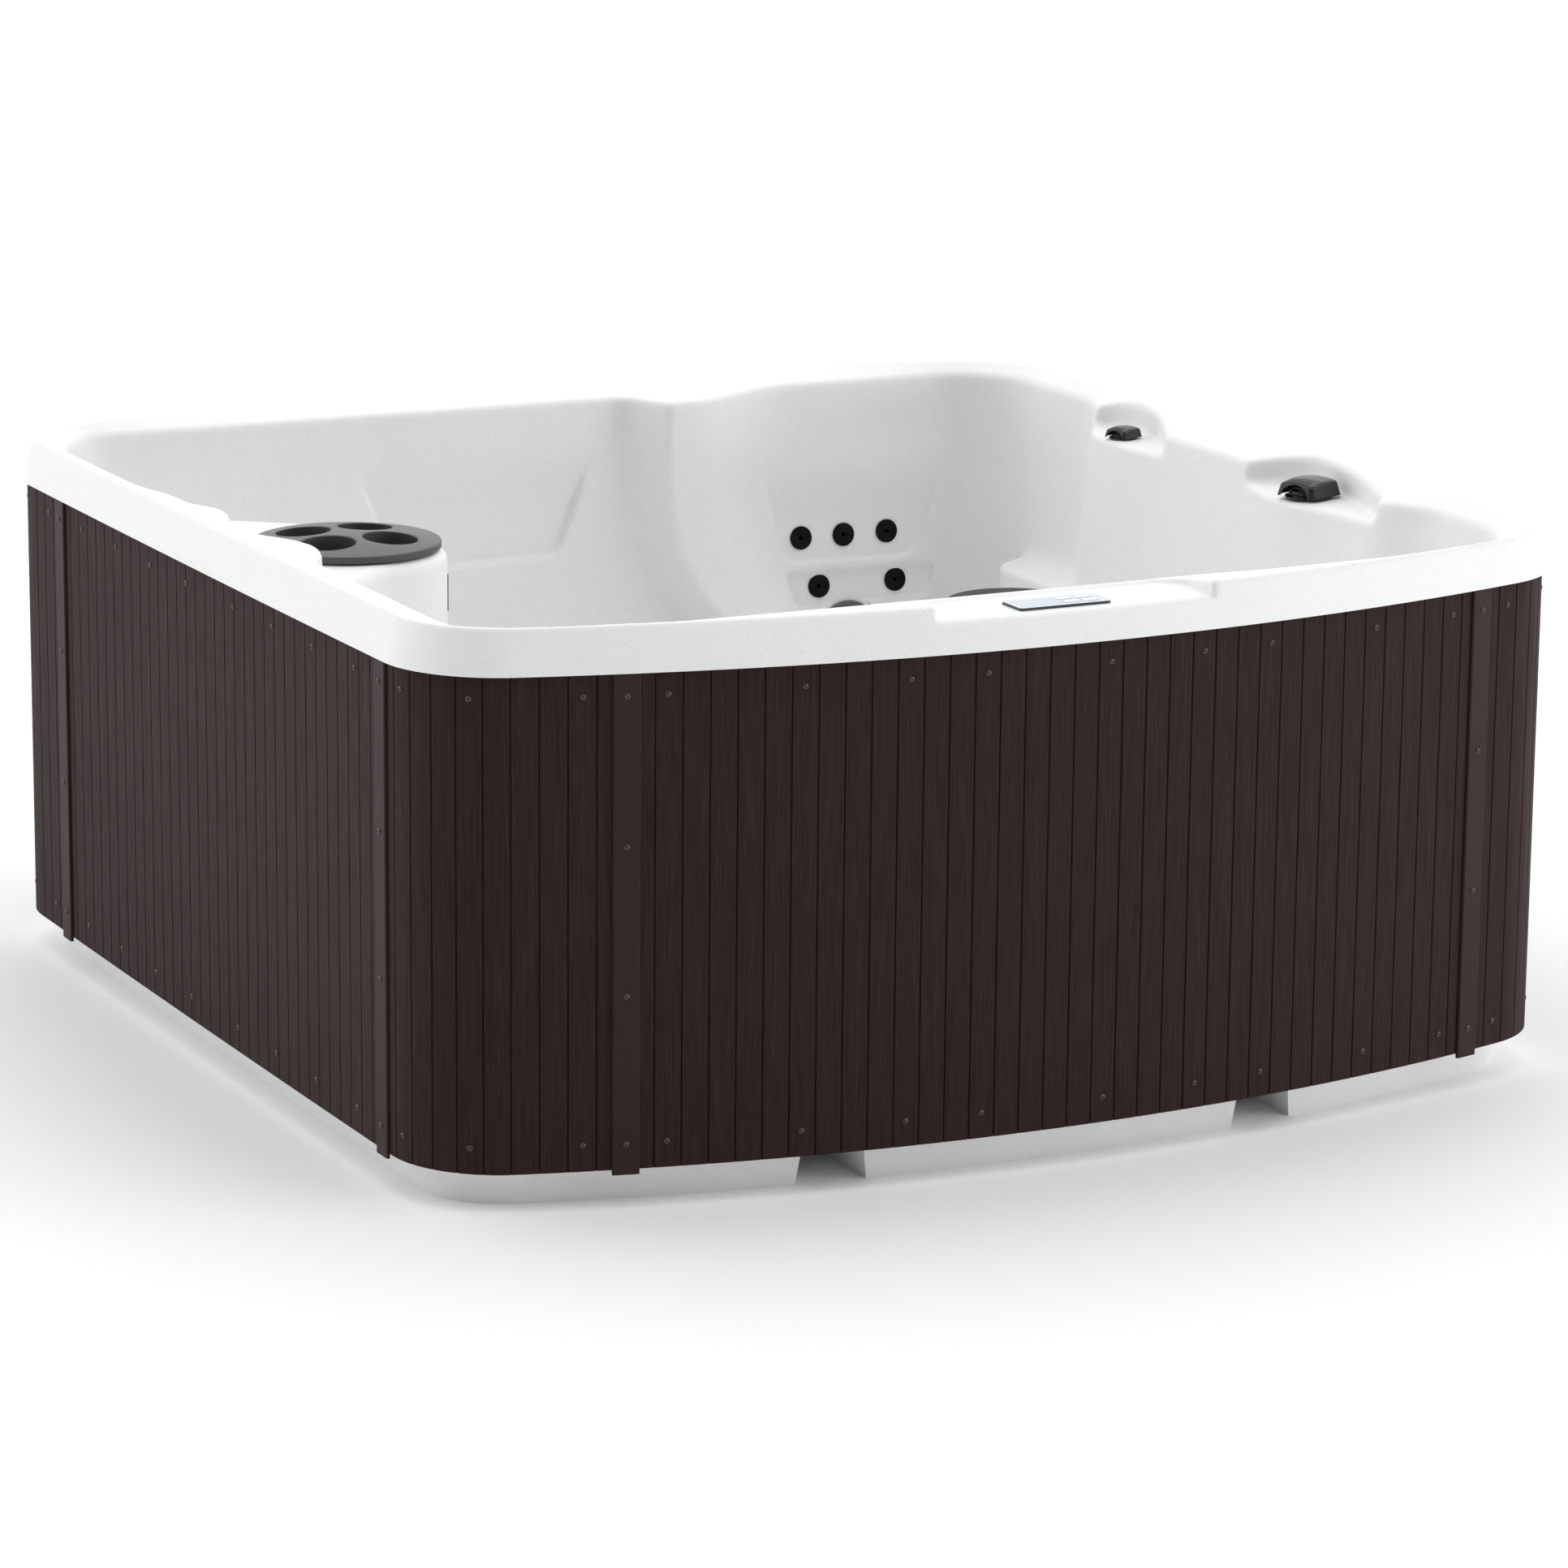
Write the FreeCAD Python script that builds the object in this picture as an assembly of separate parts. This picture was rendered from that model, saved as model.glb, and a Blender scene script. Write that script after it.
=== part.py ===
import FreeCAD, Part
import math
import os

from FreeCAD import Vector

# A portable hot tub: a white rotomoulded shell in a slatted cabinet on a base pan.
# Millimetres. Origin: centre of the footprint, on the floor. +Z up, -Y is the front with the
# control pad and the equipment bay, +X is the side with the two spouts.

os.makedirs("parts", exist_ok=True)

# ---- driving dimensions -------------------------------------------------------------------
HALF_X = 1000.0  # half width of the rim, at mid side
HALF_Y = 1083.0  # half depth of the rim, at mid side
BOW_X = 6.0  # how far the left and right sides bow out
BOW_Y = 167.0  # how far the front and back sides bow out
CORNER_R = 186.5
HEIGHT = 886.0  # crest of the rim
RIM_BOTTOM = 814.0
RIM_TAPER = 16.0  # the band leans in by this much from its foot to its crest
WALL = 8.0  # shell wall
LIP_Z = 866.0  # inner edge of the rim's sloping top
SEAT_Z = 340.0
FLOOR_Z = 110.0  # footwell floor

CABINET_Z = 60.0  # bottom edge of the cabinet
CABINET_IN = 8.0  # cabinet face, inside the rim outline
PANEL_T = 12.0
GROOVE_DEPTH = 2.5
GROOVE_HALF = 1.6
SLAT_PITCH = 41.5
STRIP_W = 42.0
STRIP_T = 5.0
STRIP_DROP = 7.0  # strips hang this far below the panels
SCREW_HEAD_R = 4.6
SCREW_HEAD_H = 2.4
SCREW_SHANK_R = 2.0
SCREW_LENGTH = 24.0
SCREW_SPACING = 165.0
SCREW_TOP_Z = 780.0
SCREW_BOTTOM_Z = 100.0

RAIL_BOTTOM = 742.0  # wooden rail under the rim
RAIL_TOP = 852.0
RAIL_T = 13.0
BACK_IN = CABINET_IN + PANEL_T  # the panels' inner face, inside the rim outline
POST_DEPTH = 41.5
POST_HALF = 26.0

BASE_IN = 52.0  # runners, inside the rim outline
PAN_WALL = 8.0
RUNNER_WALL = 12.0
CHANNEL_W = 106.0
CHANNEL_X = (-365.0, 390.0)
PAN_FLOOR = 68.0
FIT = 0.2  # gap between pieces that stand against each other
UPSTAND_TOP = 112.0

# Strips stand off centre, the same way round on opposite sides.
STRIP_FRONT_X = (-704.0, 785.0)
STRIP_LEFT_Y = (-755.0, 636.0)

CAVITY_X = 890.0  # half opening at the lip
CAVITY_Y = 918.0
CAVITY_CORNER = 150.0
WALL_DRAFT = 45.0  # how far the walls lean in from the lip to the seat
FOOTWELL_X = 430.0
FOOTWELL_Y = 450.0

TRAY_X, TRAY_Y, TRAY_R, TRAY_TOP = -700.0, 85.0, 153.0, 832.0
TRAY_DOME = 12.0  # how far the tray's middle stands above its edge
CUP_R, CUP_WALL, CUP_FLOOR, CUP_SPACING = 45.0, 3.0, 766.0, 76.0
WELL_X, WELL_Y, WELL_R = 50.0, -790.0, 107.0
POD_TOP = 806.0
HOUSING_R, HOUSING_FLOOR, HOUSING_WALL = 136.0, 560.0, 4.0
THROAT_X = (-600.0, -545.0)  # the weir's throat, from the housing to the tower's face
THROAT_HALF, THROAT_Z = 54.0, (700.0, 760.0)
BUCKET_R, BUCKET_FLOOR, BUCKET_WALL = 96.0, 600.0, 3.5
PAD_Z = 863.0
PAD_X = (-225.0, 245.0)
KEYPAD_X, KEYPAD_Y = -2.0, -1016.0
KEYPAD_W, KEYPAD_D = 156.0, 62.0
KEYPAD_BODY_X, KEYPAD_BODY_Y = 70.0, 23.0  # half size of the part that drops into the rim

SPOUT_PLACES = {"rear": (892.0, 355.0, 0.58), "front": (893.0, -272.0, 1.0)}  # x, y, size
SPOUT_Z = 830.0
RISER_R = 14.0
POCKET_X = 945.0  # back of the pockets behind the spouts
POCKET_Y = ((-500.0, -165.0), (215.0, 440.0))
SPOUT_AIM = 200.0  # degrees anticlockwise from +X, the way the spouts point
JET_R = 21.5
JET_BARREL_R = 16.0
SUCTION_R = 30.0  # pipe stub behind each suction cover
FOOT_DRAIN_Y, FOOT_DRAIN_R = -20.0, 20.0
GAP = 0.4  # clearance between pieces that move past each other

Z_UP = Vector(0, 0, 1)


# ---- outline of the footprint -------------------------------------------------------------
def outline_arcs(inset=0.0, half_x=HALF_X, half_y=HALF_Y, bow_x=BOW_X, bow_y=BOW_Y, corner=CORNER_R):
    """The footprint as (centre, radius, start angle, end angle), anticlockwise from +X."""
    side_r = (half_y**2 + bow_x**2) / (2 * bow_x)
    end_r = (half_x**2 + bow_y**2) / (2 * bow_y)
    side_c = half_x - side_r
    end_c = half_y - end_r
    r1, r2 = side_r - corner, end_r - corner
    # the corner's centre is where the two inset circles cross
    gap = math.hypot(side_c, end_c)
    along = (r1**2 - r2**2 + gap**2) / (2 * gap)
    across = math.sqrt(r1**2 - along**2)
    ux, uy = -side_c / gap, end_c / gap
    kx = side_c + along * ux - across * uy
    ky = along * uy + across * ux
    a1 = math.atan2(ky, kx - side_c)
    a2 = math.atan2(ky - end_c, kx)
    pi = math.pi
    side, end, turn = side_r - inset, end_r - inset, corner - inset
    return [
        (side_c, 0.0, side, -a1, a1),
        (kx, ky, turn, a1, a2),
        (0.0, end_c, end, a2, pi - a2),
        (-kx, ky, turn, pi - a2, pi - a1),
        (-side_c, 0.0, side, pi - a1, pi + a1),
        (-kx, -ky, turn, pi + a1, pi + a2),
        (0.0, -end_c, end, pi + a2, 2 * pi - a2),
        (kx, -ky, turn, 2 * pi - a2, 2 * pi - a1),
    ]


def outline_wire(z, inset=0.0, **shape):
    edges = []
    for cx, cy, r, start, end in outline_arcs(inset, **shape):
        circle = Part.Circle(Vector(cx, cy, z), Z_UP, r)
        edges.append(Part.Arc(circle, start, end).toShape())
    return Part.Wire(edges)


def prism(z0, z1, inset=0.0, inset_top=None, **shape):
    """The footprint raised from z0 to z1, leaning in to inset_top."""
    top = inset if inset_top is None else inset_top
    wires = [outline_wire(z0, inset, **shape), outline_wire(z1, top, **shape)]
    return Part.makeLoft(wires, True, True)


class Track:
    """Points along the footprint by distance from the front end of the +X side, anticlockwise."""

    def __init__(self):
        self.arcs = outline_arcs()
        self.ends = [0.0]
        for _, _, r, start, end in self.arcs:
            self.ends.append(self.ends[-1] + r * (end - start))
        self.length = self.ends[-1]

    def frame(self, s):
        """(point, outward normal) at s on the outline, both flat."""
        s = s % self.length
        k = max(i for i in range(8) if self.ends[i] <= s)
        cx, cy, r, start, _ = self.arcs[k]
        angle = start + (s - self.ends[k]) / r
        normal = Vector(math.cos(angle), math.sin(angle), 0)
        return Vector(cx, cy, 0) + normal * r, normal

    def at(self, s, inset, z=0.0):
        point, normal = self.frame(s)
        return point - normal * inset + Z_UP * z

    def find(self, x=None, y=None, side=None):
        """Distance along the outline where it passes x or y on the named side."""
        k = {"right": 0, "back": 2, "left": 4, "front": 6}[side]
        cx, cy, r, _, _ = self.arcs[k]
        if side == "right":
            angle = math.asin(y / r)
        elif side == "left":
            angle = math.pi - math.asin(y / r)
        elif side == "back":
            angle = math.acos(x / r)
        else:
            angle = 2 * math.pi - math.acos(x / r)
        return self.ends[k] + r * (angle - self.arcs[k][3])


TRACK = Track()


def strip_places():
    """Name and distance along the footprint of each cover strip."""
    low_x, high_x = STRIP_FRONT_X
    low_y, high_y = STRIP_LEFT_Y
    return {
        "right_back": TRACK.find(y=-low_y, side="right"),
        "back_right": TRACK.find(x=-low_x, side="back"),
        "back_left": TRACK.find(x=-high_x, side="back"),
        "left_back": TRACK.find(y=high_y, side="left"),
        "left_front": TRACK.find(y=low_y, side="left"),
        "front_left": TRACK.find(x=low_x, side="front"),
        "front_right": TRACK.find(x=high_x, side="front"),
        "right_front": TRACK.find(y=-high_y, side="right"),
    }


STRIPS = strip_places()
PANELS = {
    "panel_corner_back_right": ("right_back", "back_right"),
    "panel_back": ("back_right", "back_left"),
    "panel_corner_back_left": ("back_left", "left_back"),
    "panel_left": ("left_back", "left_front"),
    "panel_corner_front_left": ("left_front", "front_left"),
    "panel_front": ("front_left", "front_right"),
    "panel_corner_front_right": ("front_right", "right_front"),
    "panel_right": ("right_front", "right_back"),
}


# ---- small helpers ------------------------------------------------------------------------
def box(x0, x1, y0, y1, z0, z1):
    return Part.makeBox(x1 - x0, y1 - y0, z1 - z0, Vector(x0, y0, z0))


def rounded_box(x0, x1, y0, y1, z0, z1, r):
    block = box(x0, x1, y0, y1, z0, z1)
    upright = [e for e in block.Edges if abs(e.BoundBox.ZLength - (z1 - z0)) < 1e-6]
    return block.makeFillet(r, upright)


def rod(base, axis, r, length):
    return Part.makeCylinder(r, length, base, axis)


def tube(base, axis, r_out, r_in, length):
    inner = rod(base - axis * 1, axis, r_in, length + 2)
    return rod(base, axis, r_out, length).cut(inner)


def fuse(shapes):
    shapes = list(shapes)
    return shapes[0].multiFuse(shapes[1:]).removeSplitter() if len(shapes) > 1 else shapes[0]


def save(name, shape):
    """Writes one piece, and says if it isn't what it should be."""
    solids = shape.Solids
    whole = solids[0] if len(solids) == 1 else Part.makeCompound(solids)
    whole.exportStep("parts/" + name + ".step")
    good = all(s.isValid() for s in solids)
    print(f"{name}: {len(solids)} solids, {sum(s.Volume for s in solids) / 1e6:.3f} litres, valid {good}")


# ---- cabinet ------------------------------------------------------------------------------
def span(name):
    """Start and end of a panel along the footprint."""
    start, end = (STRIPS[k] for k in PANELS[name])
    return (start, end) if end > start else (start, end + TRACK.length)


def arc_edges(a, b, inset, z):
    """Edges that follow the outline from a to b, one for each of its arcs that they cross."""
    low, high = min(a, b), max(a, b)
    breaks = [e + lap for lap in (0.0, TRACK.length) for e in TRACK.ends]
    stops = [low] + sorted(k for k in set(breaks) if low + 0.01 < k < high - 0.01) + [high]
    if a > b:
        stops.reverse()
    edges = []
    for p, q in zip(stops[:-1], stops[1:]):
        middle = TRACK.at((p + q) / 2, inset, z)
        edges.append(Part.Arc(TRACK.at(p, inset, z), middle, TRACK.at(q, inset, z)).toShape())
    return edges


def panel(name):
    """Moulded sheet of vertical slats with a V groove between each two."""
    start, end = span(name)
    start, end = start + 1.5, end - 1.5
    count = round((end - start) / SLAT_PITCH)
    pitch = (end - start) / count
    face, back, z = CABINET_IN, CABINET_IN + PANEL_T, CABINET_Z
    edges = []
    for k in range(count):
        left = start + k * pitch + (GROOVE_HALF if k else 0)
        right = start + (k + 1) * pitch
        stop = right - (GROOVE_HALF if k < count - 1 else 0)
        edges += arc_edges(left, stop, face, z)
        if k < count - 1:
            root = TRACK.at(right, face + GROOVE_DEPTH, z)
            edges.append(Part.makeLine(TRACK.at(stop, face, z), root))
            edges.append(Part.makeLine(root, TRACK.at(right + GROOVE_HALF, face, z)))
    edges.append(Part.makeLine(TRACK.at(end, face, z), TRACK.at(end, back, z)))
    for k in reversed(range(count)):
        edges += arc_edges(start + (k + 1) * pitch, start + k * pitch, back, z)
    edges.append(Part.makeLine(TRACK.at(start, back, z), TRACK.at(start, face, z)))
    sheet = Part.Face(Part.Wire(edges))
    return sheet.extrude(Z_UP * (RIM_BOTTOM - 1 - CABINET_Z))


def strip(s):
    """Smooth cover strip over a panel joint, with rounded long edges."""
    a, b = s - STRIP_W / 2, s + STRIP_W / 2
    back, face, z = CABINET_IN - 0.1, CABINET_IN - STRIP_T, CABINET_Z - STRIP_DROP
    edges = arc_edges(a, b, back, z)
    edges.append(Part.makeLine(TRACK.at(b, back, z), TRACK.at(b, face, z)))
    edges += arc_edges(b, a, face, z)
    edges.append(Part.makeLine(TRACK.at(a, face, z), TRACK.at(a, back, z)))
    bar = Part.Face(Part.Wire(edges)).extrude(Z_UP * (RIM_BOTTOM - 1 - z))
    corners = [TRACK.at(a, face), TRACK.at(b, face)]
    upright = [
        e
        for e in bar.Edges
        if e.BoundBox.ZLength > 100
        and min((Vector(v.X, v.Y, 0) - c).Length for v in e.Vertexes for c in corners) < 0.1
    ]
    return bar.makeFillet(3.0, upright)


def screw(s, z, inset):
    """Self-tapping screw with a domed socket head, driven in at s from a face at this inset."""
    _, normal = TRACK.frame(s)
    r, h, shank, tip = SCREW_HEAD_R, SCREW_HEAD_H, SCREW_SHANK_R, -SCREW_LENGTH
    edge, point, socket_r = 0.6, 4.0, 1.5
    corners = [(0, tip), (shank * 0.4, tip), (shank, tip + point), (shank, 0), (r, 0), (r, edge)]
    corners = [Vector(x, 0, z) for x, z in corners]
    outline = [Part.makeLine(a, b) for a, b in zip(corners, corners[1:])]
    crown = Vector(0, 0, h)
    outline.append(Part.Arc(corners[-1], Vector(r * 0.72, 0, h * 0.78), crown).toShape())
    outline.append(Part.makeLine(crown, corners[0]))
    body = Part.Face(Part.Wire(outline)).revolve(Vector(0, 0, 0), Z_UP, 360)
    body = body.cut(rod(Vector(0, 0, h - socket_r), Z_UP, socket_r, 3))
    body.Placement = FreeCAD.Placement(TRACK.at(s, inset, z), FreeCAD.Rotation(Z_UP, normal))
    return body


def screws():
    made = []
    for name in PANELS:
        start, end = span(name)
        count = max(3, round((end - start) / SCREW_SPACING))
        for k in range(count):
            s = start + (k + 0.5) * (end - start) / count
            # a screw goes into the middle of a slat, never into a groove
            slats = round((end - start) / SLAT_PITCH)
            pitch = (end - start) / slats
            s = start + (math.floor((s - start) / pitch) + 0.5) * pitch
            made += [screw(s, z, CABINET_IN) for z in (SCREW_BOTTOM_Z, SCREW_TOP_Z)]
    rows = 4
    for s in STRIPS.values():
        for k in range(rows):
            z = SCREW_BOTTOM_Z + k * (SCREW_TOP_Z - SCREW_BOTTOM_Z) / (rows - 1)
            made.append(screw(s, z, CABINET_IN - STRIP_T))
    return Part.makeCompound(made)


def place_radial(shape, s):
    """Turns a piece made with +X as outward normal, and its origin on the outline, to s."""
    _, normal = TRACK.frame(s)
    moved = shape.copy()
    moved.Placement = FreeCAD.Placement(TRACK.at(s, 0), FreeCAD.Rotation(Vector(1, 0, 0), normal))
    return moved


def posts():
    """Uprights behind the cover strips, from the pan's floor to the top rail."""
    made = []
    face, half = -BACK_IN - 0.5, POST_HALF
    step = -BACK_IN - PAN_WALL - 1
    for s in STRIPS.values():
        post = box(face - POST_DEPTH, face, -half, half, PAN_FLOOR, RAIL_BOTTOM)
        # the foot steps back to clear the pan's upstand
        post = post.cut(box(step, face + 2, -half - 1, half + 1, PAN_FLOOR - 1, UPSTAND_TOP + 1))
        made.append(place_radial(post, s))
    return Part.makeCompound(made)


def top_rail():
    """Frame under the rim, which the panels' top screws bite into, in a length for each panel."""
    made = []
    for name in PANELS:
        start, end = (s + step for s, step in zip(span(name), (0.5, -0.5)))
        outer, inner = BACK_IN + 0.3, BACK_IN + RAIL_T
        edges = arc_edges(start, end, outer, RAIL_BOTTOM) + arc_edges(end, start, inner, RAIL_BOTTOM)
        for s in (start, end):
            ends = [TRACK.at(s, inset, RAIL_BOTTOM) for inset in (outer, inner)]
            edges.append(Part.makeLine(*ends))
        face = Part.Face(Part.Wire(Part.__sortEdges__(edges)))
        made.append(face.extrude(Z_UP * (RAIL_TOP - RAIL_BOTTOM)))
    return Part.makeCompound(made)


def base_pan():
    """Tray with three hollow runners and two channels for a fork truck's tines or a hose."""
    low = prism(0, CABINET_Z, BASE_IN + 6, BASE_IN)
    high = prism(CABINET_Z, UPSTAND_TOP, BACK_IN + 0.2)
    pan = low.fuse(high).cut(prism(PAN_FLOOR, UPSTAND_TOP + 1, BACK_IN + PAN_WALL + 0.2))
    edges = [-HALF_X - 50] + list(CHANNEL_X) + [HALF_X + 50]
    for left, right in zip(edges[:-1], edges[1:]):
        side = CHANNEL_W / 2 + RUNNER_WALL
        pocket = box(left + side, right - side, -HALF_Y, HALF_Y, PAN_WALL, PAN_FLOOR + 1)
        pan = pan.cut(pocket.common(prism(PAN_WALL - 1, PAN_FLOOR + 2, BASE_IN + RUNNER_WALL + 4)))
    draft, front, roof = 4, -1200, PAN_FLOOR - 10
    for x in CHANNEL_X:
        foot, head = CHANNEL_W / 2 + draft, CHANNEL_W / 2 - draft
        points = [Vector(x - foot, front, -1), Vector(x + foot, front, -1)]
        points += [Vector(x + head, front, roof), Vector(x - head, front, roof)]
        tunnel = Part.Face(Part.makePolygon(points + points[:1])).extrude(Vector(0, -2 * front, 0))
        pan = pan.cut(tunnel)
    return pan


# ---- tub shell ----------------------------------------------------------------------------
def cavity_outline(z, grow, lean):
    shape = {"half_x": CAVITY_X + grow - lean, "half_y": CAVITY_Y + grow - lean}
    return outline_wire(z, bow_x=2.0, bow_y=2.0, corner=CAVITY_CORNER + grow - lean, **shape)


def hollows(grow, pocket_top):
    """The bathing space: seats, footwell and spout pockets, larger all round by grow."""
    bottom = SEAT_Z - grow
    foot_wire, lip_wire = cavity_outline(bottom, grow, WALL_DRAFT), cavity_outline(LIP_Z, grow, 0)
    upper = Part.makeLoft([foot_wire, lip_wire], True, True)
    x, y = FOOTWELL_X + grow, FOOTWELL_Y + grow
    centre = FOOT_DRAIN_Y
    foot = rounded_box(-x, x, centre - y, centre + y, FLOOR_Z - grow, SEAT_Z + 1, 90 + grow)
    pockets = [
        rounded_box(800, POCKET_X + grow, y0 - grow, y1 + grow, SPOUT_Z - grow, pocket_top, 25 + grow)
        for y0, y1 in POCKET_Y
    ]
    return fuse([upper, foot] + pockets)


def divider(grow):
    """Ridge down the back wall between the two rear seats, which sweeps out to an armrest."""
    wires = []
    for z, x, reach in ((LIP_Z + 30, 265, 815), (560, 285, 800), (SEAT_Z - 20, 400, 720)):
        half, front = 48 + grow, reach - grow
        points = [Vector(x - half, front, z), Vector(x + half, front, z)]
        points += [Vector(x + half, 960, z), Vector(x - half, 960, z)]
        wires.append(Part.makePolygon(points + points[:1]))
    return Part.makeLoft(wires, True, True)


def pod(x, y, r, web, grow):
    """Round tower that holds a well; web is the block in plan that joins it to a wall."""
    low, high = SEAT_Z - 30, POD_TOP + grow
    tower = rod(Vector(x, y, low), Z_UP, r, high - low)
    return tower.fuse(box(*web, low, high))


def bumps(grow):
    """What stands into the bathing space, larger all round by grow."""
    tray_r, well_r = TRAY_R + 12 + grow, WELL_R + 14 + grow
    foot, outer = SEAT_Z - 30, 990
    return [
        divider(grow),
        pod(TRAY_X, TRAY_Y, tray_r, (-920, TRAY_X, TRAY_Y - tray_r, TRAY_Y + tray_r), grow),
        pod(WELL_X, WELL_Y, well_r, (WELL_X - well_r, WELL_X + well_r, -950, WELL_Y), grow),
        # shelves under the two spouts, and an armrest
        rounded_box(805 - grow, outer, -560 - grow, -115 + grow, foot, SPOUT_Z + grow, 35 + grow),
        rounded_box(850 - grow, outer, 180 - grow, 470 + grow, foot, SPOUT_Z + grow, 35 + grow),
        box(815 - grow, outer, -60 - grow, 700 + grow, foot, 550 + grow),
    ]


def jet_frame(x, z, side):
    """Placement of a wall fitting: its origin on the wall and its +Z into the tub."""
    lean = WALL_DRAFT / (LIP_Z - SEAT_Z)
    y = CAVITY_Y - lean * (LIP_Z - z) - 2.0 * (x / CAVITY_X) ** 2
    normal = Vector(0, -side, lean)
    return FreeCAD.Placement(Vector(x, side * y, z), FreeCAD.Rotation(Z_UP, normal))


# Wall jets as (x, z, side): the rear right seat has five, and the two front seats two each.
JETS = [(525, 584, 1), (612, 584, 1), (701, 584, 1), (559, 493, 1), (716, 493, 1)]
JETS += [(-640, 560, -1), (-540, 560, -1), (500, 560, -1), (600, 560, -1)]
SEAT_SUCTION = (616, 402, 1)
FOOT_SUCTION_X, FOOT_SUCTION_Z = (-170, 170), 200
FOOT_FRONT_Y = FOOT_DRAIN_Y - FOOTWELL_Y  # the footwell's front wall


def placed(shape, placement):
    moved = shape.copy()
    moved.Placement = placement
    return moved


def wall_holes():
    """Everything that pierces the shell."""
    wall_hole = Vector(0, 0, -40)
    holes = [placed(rod(wall_hole, Z_UP, JET_BARREL_R + FIT, 60), jet_frame(*j)) for j in JETS]
    holes.append(placed(rod(wall_hole, Z_UP, SUCTION_R + FIT, 60), jet_frame(*SEAT_SUCTION)))
    for x in FOOT_SUCTION_X:
        behind = Vector(x, FOOT_FRONT_Y - 40, FOOT_SUCTION_Z)
        holes.append(rod(behind, Vector(0, 1, 0), SUCTION_R + FIT, 60))
    below = POD_TOP - 20
    holes.append(rod(Vector(TRAY_X, TRAY_Y, below), Z_UP, HOUSING_R + FIT, 40))
    holes.append(rod(Vector(WELL_X, WELL_Y, below), Z_UP, BUCKET_R + FIT, 40))
    half, (low, high) = THROAT_HALF + FIT, THROAT_Z
    holes.append(box(THROAT_X[0], -520, TRAY_Y - half, TRAY_Y + half, low - FIT, high + FIT))
    half_x, half_y = KEYPAD_BODY_X + 0.3, KEYPAD_BODY_Y + 0.3
    holes.append(
        box(KEYPAD_X - half_x, KEYPAD_X + half_x, KEYPAD_Y - half_y, KEYPAD_Y + half_y, 800, 900)
    )
    for x, y, size in SPOUT_PLACES.values():
        holes.append(rod(Vector(x, y, SPOUT_Z - 20), Z_UP, (RISER_R + FIT) * size, 40))
    holes.append(rod(Vector(0, FOOT_DRAIN_Y, FLOOR_Z - 20), Z_UP, FOOT_DRAIN_R + FIT, 40))
    return holes


def tub_shell():
    inner_top = RIM_TAPER * (RAIL_TOP - RIM_BOTTOM) / (HEIGHT - RIM_BOTTOM)
    rim = prism(RIM_BOTTOM, HEIGHT, 0, RIM_TAPER)
    rim = rim.cut(prism(RIM_BOTTOM - 1, RAIL_TOP, WALL, WALL + inner_top))
    cavity, skin = hollows(0, HEIGHT + 5), hollows(WALL, LIP_Z)
    for solid, smaller in zip(bumps(0), bumps(-WALL)):
        cavity = cavity.cut(solid)
        skin = skin.cut(smaller)
    throat = Part.makeLoft([cavity_outline(LIP_Z - 0.5, 0, 0), outline_wire(HEIGHT + 0.5, 30)], True, True)
    shell = rim.fuse(skin).cut(cavity).cut(throat)
    # the control pad is a flat notch in the front of the rim
    shell = shell.cut(box(PAD_X[0], PAD_X[1], -1100, -918, PAD_Z, HEIGHT + 5))
    for hole in wall_holes():
        shell = shell.cut(hole)
    return in_blocks(shell)


WEDGES = 14  # a round tower or cup is held as this many touching wedges


def sectors(shape, x, y, count):
    """The shape cut into wedges about an upright axis."""
    reach = 1500
    made = []
    for k in range(count):
        angles = [2 * math.pi * (k + step) / count for step in (0, 1)]
        far = [Vector(x + reach * math.cos(a), y + reach * math.sin(a), 0) for a in angles]
        near = Vector(x, y, 0)
        if count <= 4:
            far.insert(1, far[0] + far[1] - near)
        wedge = Part.Face(Part.makePolygon([near] + far + [near])).extrude(Z_UP * 1000)
        made += shape.common(wedge).Solids
    return made


def in_blocks(shell):
    """The one moulding as touching solids of simple shape: footwell, seat deck, walls, towers."""
    reach, deck, top = 1200, SEAT_Z + 1, HEIGHT + 14
    wall_left, wall_right = -520, 700
    tray_x, tray_y0, tray_y1 = 10 - CAVITY_X, -90, 260
    well_x0, well_x1, well_y0, well_y1 = -80, 180, 13 - CAVITY_Y, -660
    plans = [
        (-reach, tray_x, tray_y0, tray_y1),
        (-reach, wall_left, -reach, tray_y0),
        (-reach, wall_left, tray_y1, reach),
        (well_x0, well_x1, -reach, well_y0),
        (wall_left, well_x0, -reach, 0),
        (wall_left, well_x1, 0, reach),
        (well_x1, wall_right, -reach, 0),
        (well_x1, wall_right, 0, reach),
        (wall_right, reach, -reach, -560),
        (wall_right, reach, -560, 0),  # the front spout's shelf
        (wall_right, reach, 0, 480),  # the rear spout's shelf
        (wall_right, reach, 480, reach),
    ]
    blocks = [box(-reach, reach, -reach, reach, 0, SEAT_Z - WALL)]
    blocks.append(box(-reach, reach, -reach, reach, SEAT_Z - WALL, deck))
    blocks += [box(*plan, deck, top) for plan in plans]
    solids = []
    for block in blocks:
        solids += shell.common(block).Solids
    tray_tower = shell.common(box(tray_x, wall_left, tray_y0, tray_y1, deck, top))
    well_tower = shell.common(box(well_x0, well_x1, well_y0, well_y1, deck, top))
    solids += sectors(tray_tower, TRAY_X, TRAY_Y, WEDGES)
    solids += sectors(well_tower, WELL_X, WELL_Y, WEDGES)
    return Part.makeCompound(solids)


# ---- tray, filter and well ------------------------------------------------------------------
def cup_places():
    centre = Vector(TRAY_X, TRAY_Y, 0)
    angles = [math.radians(45 + 90 * k) for k in range(4)]
    return [centre + Vector(math.cos(a), math.sin(a), 0) * CUP_SPACING for a in angles]


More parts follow.
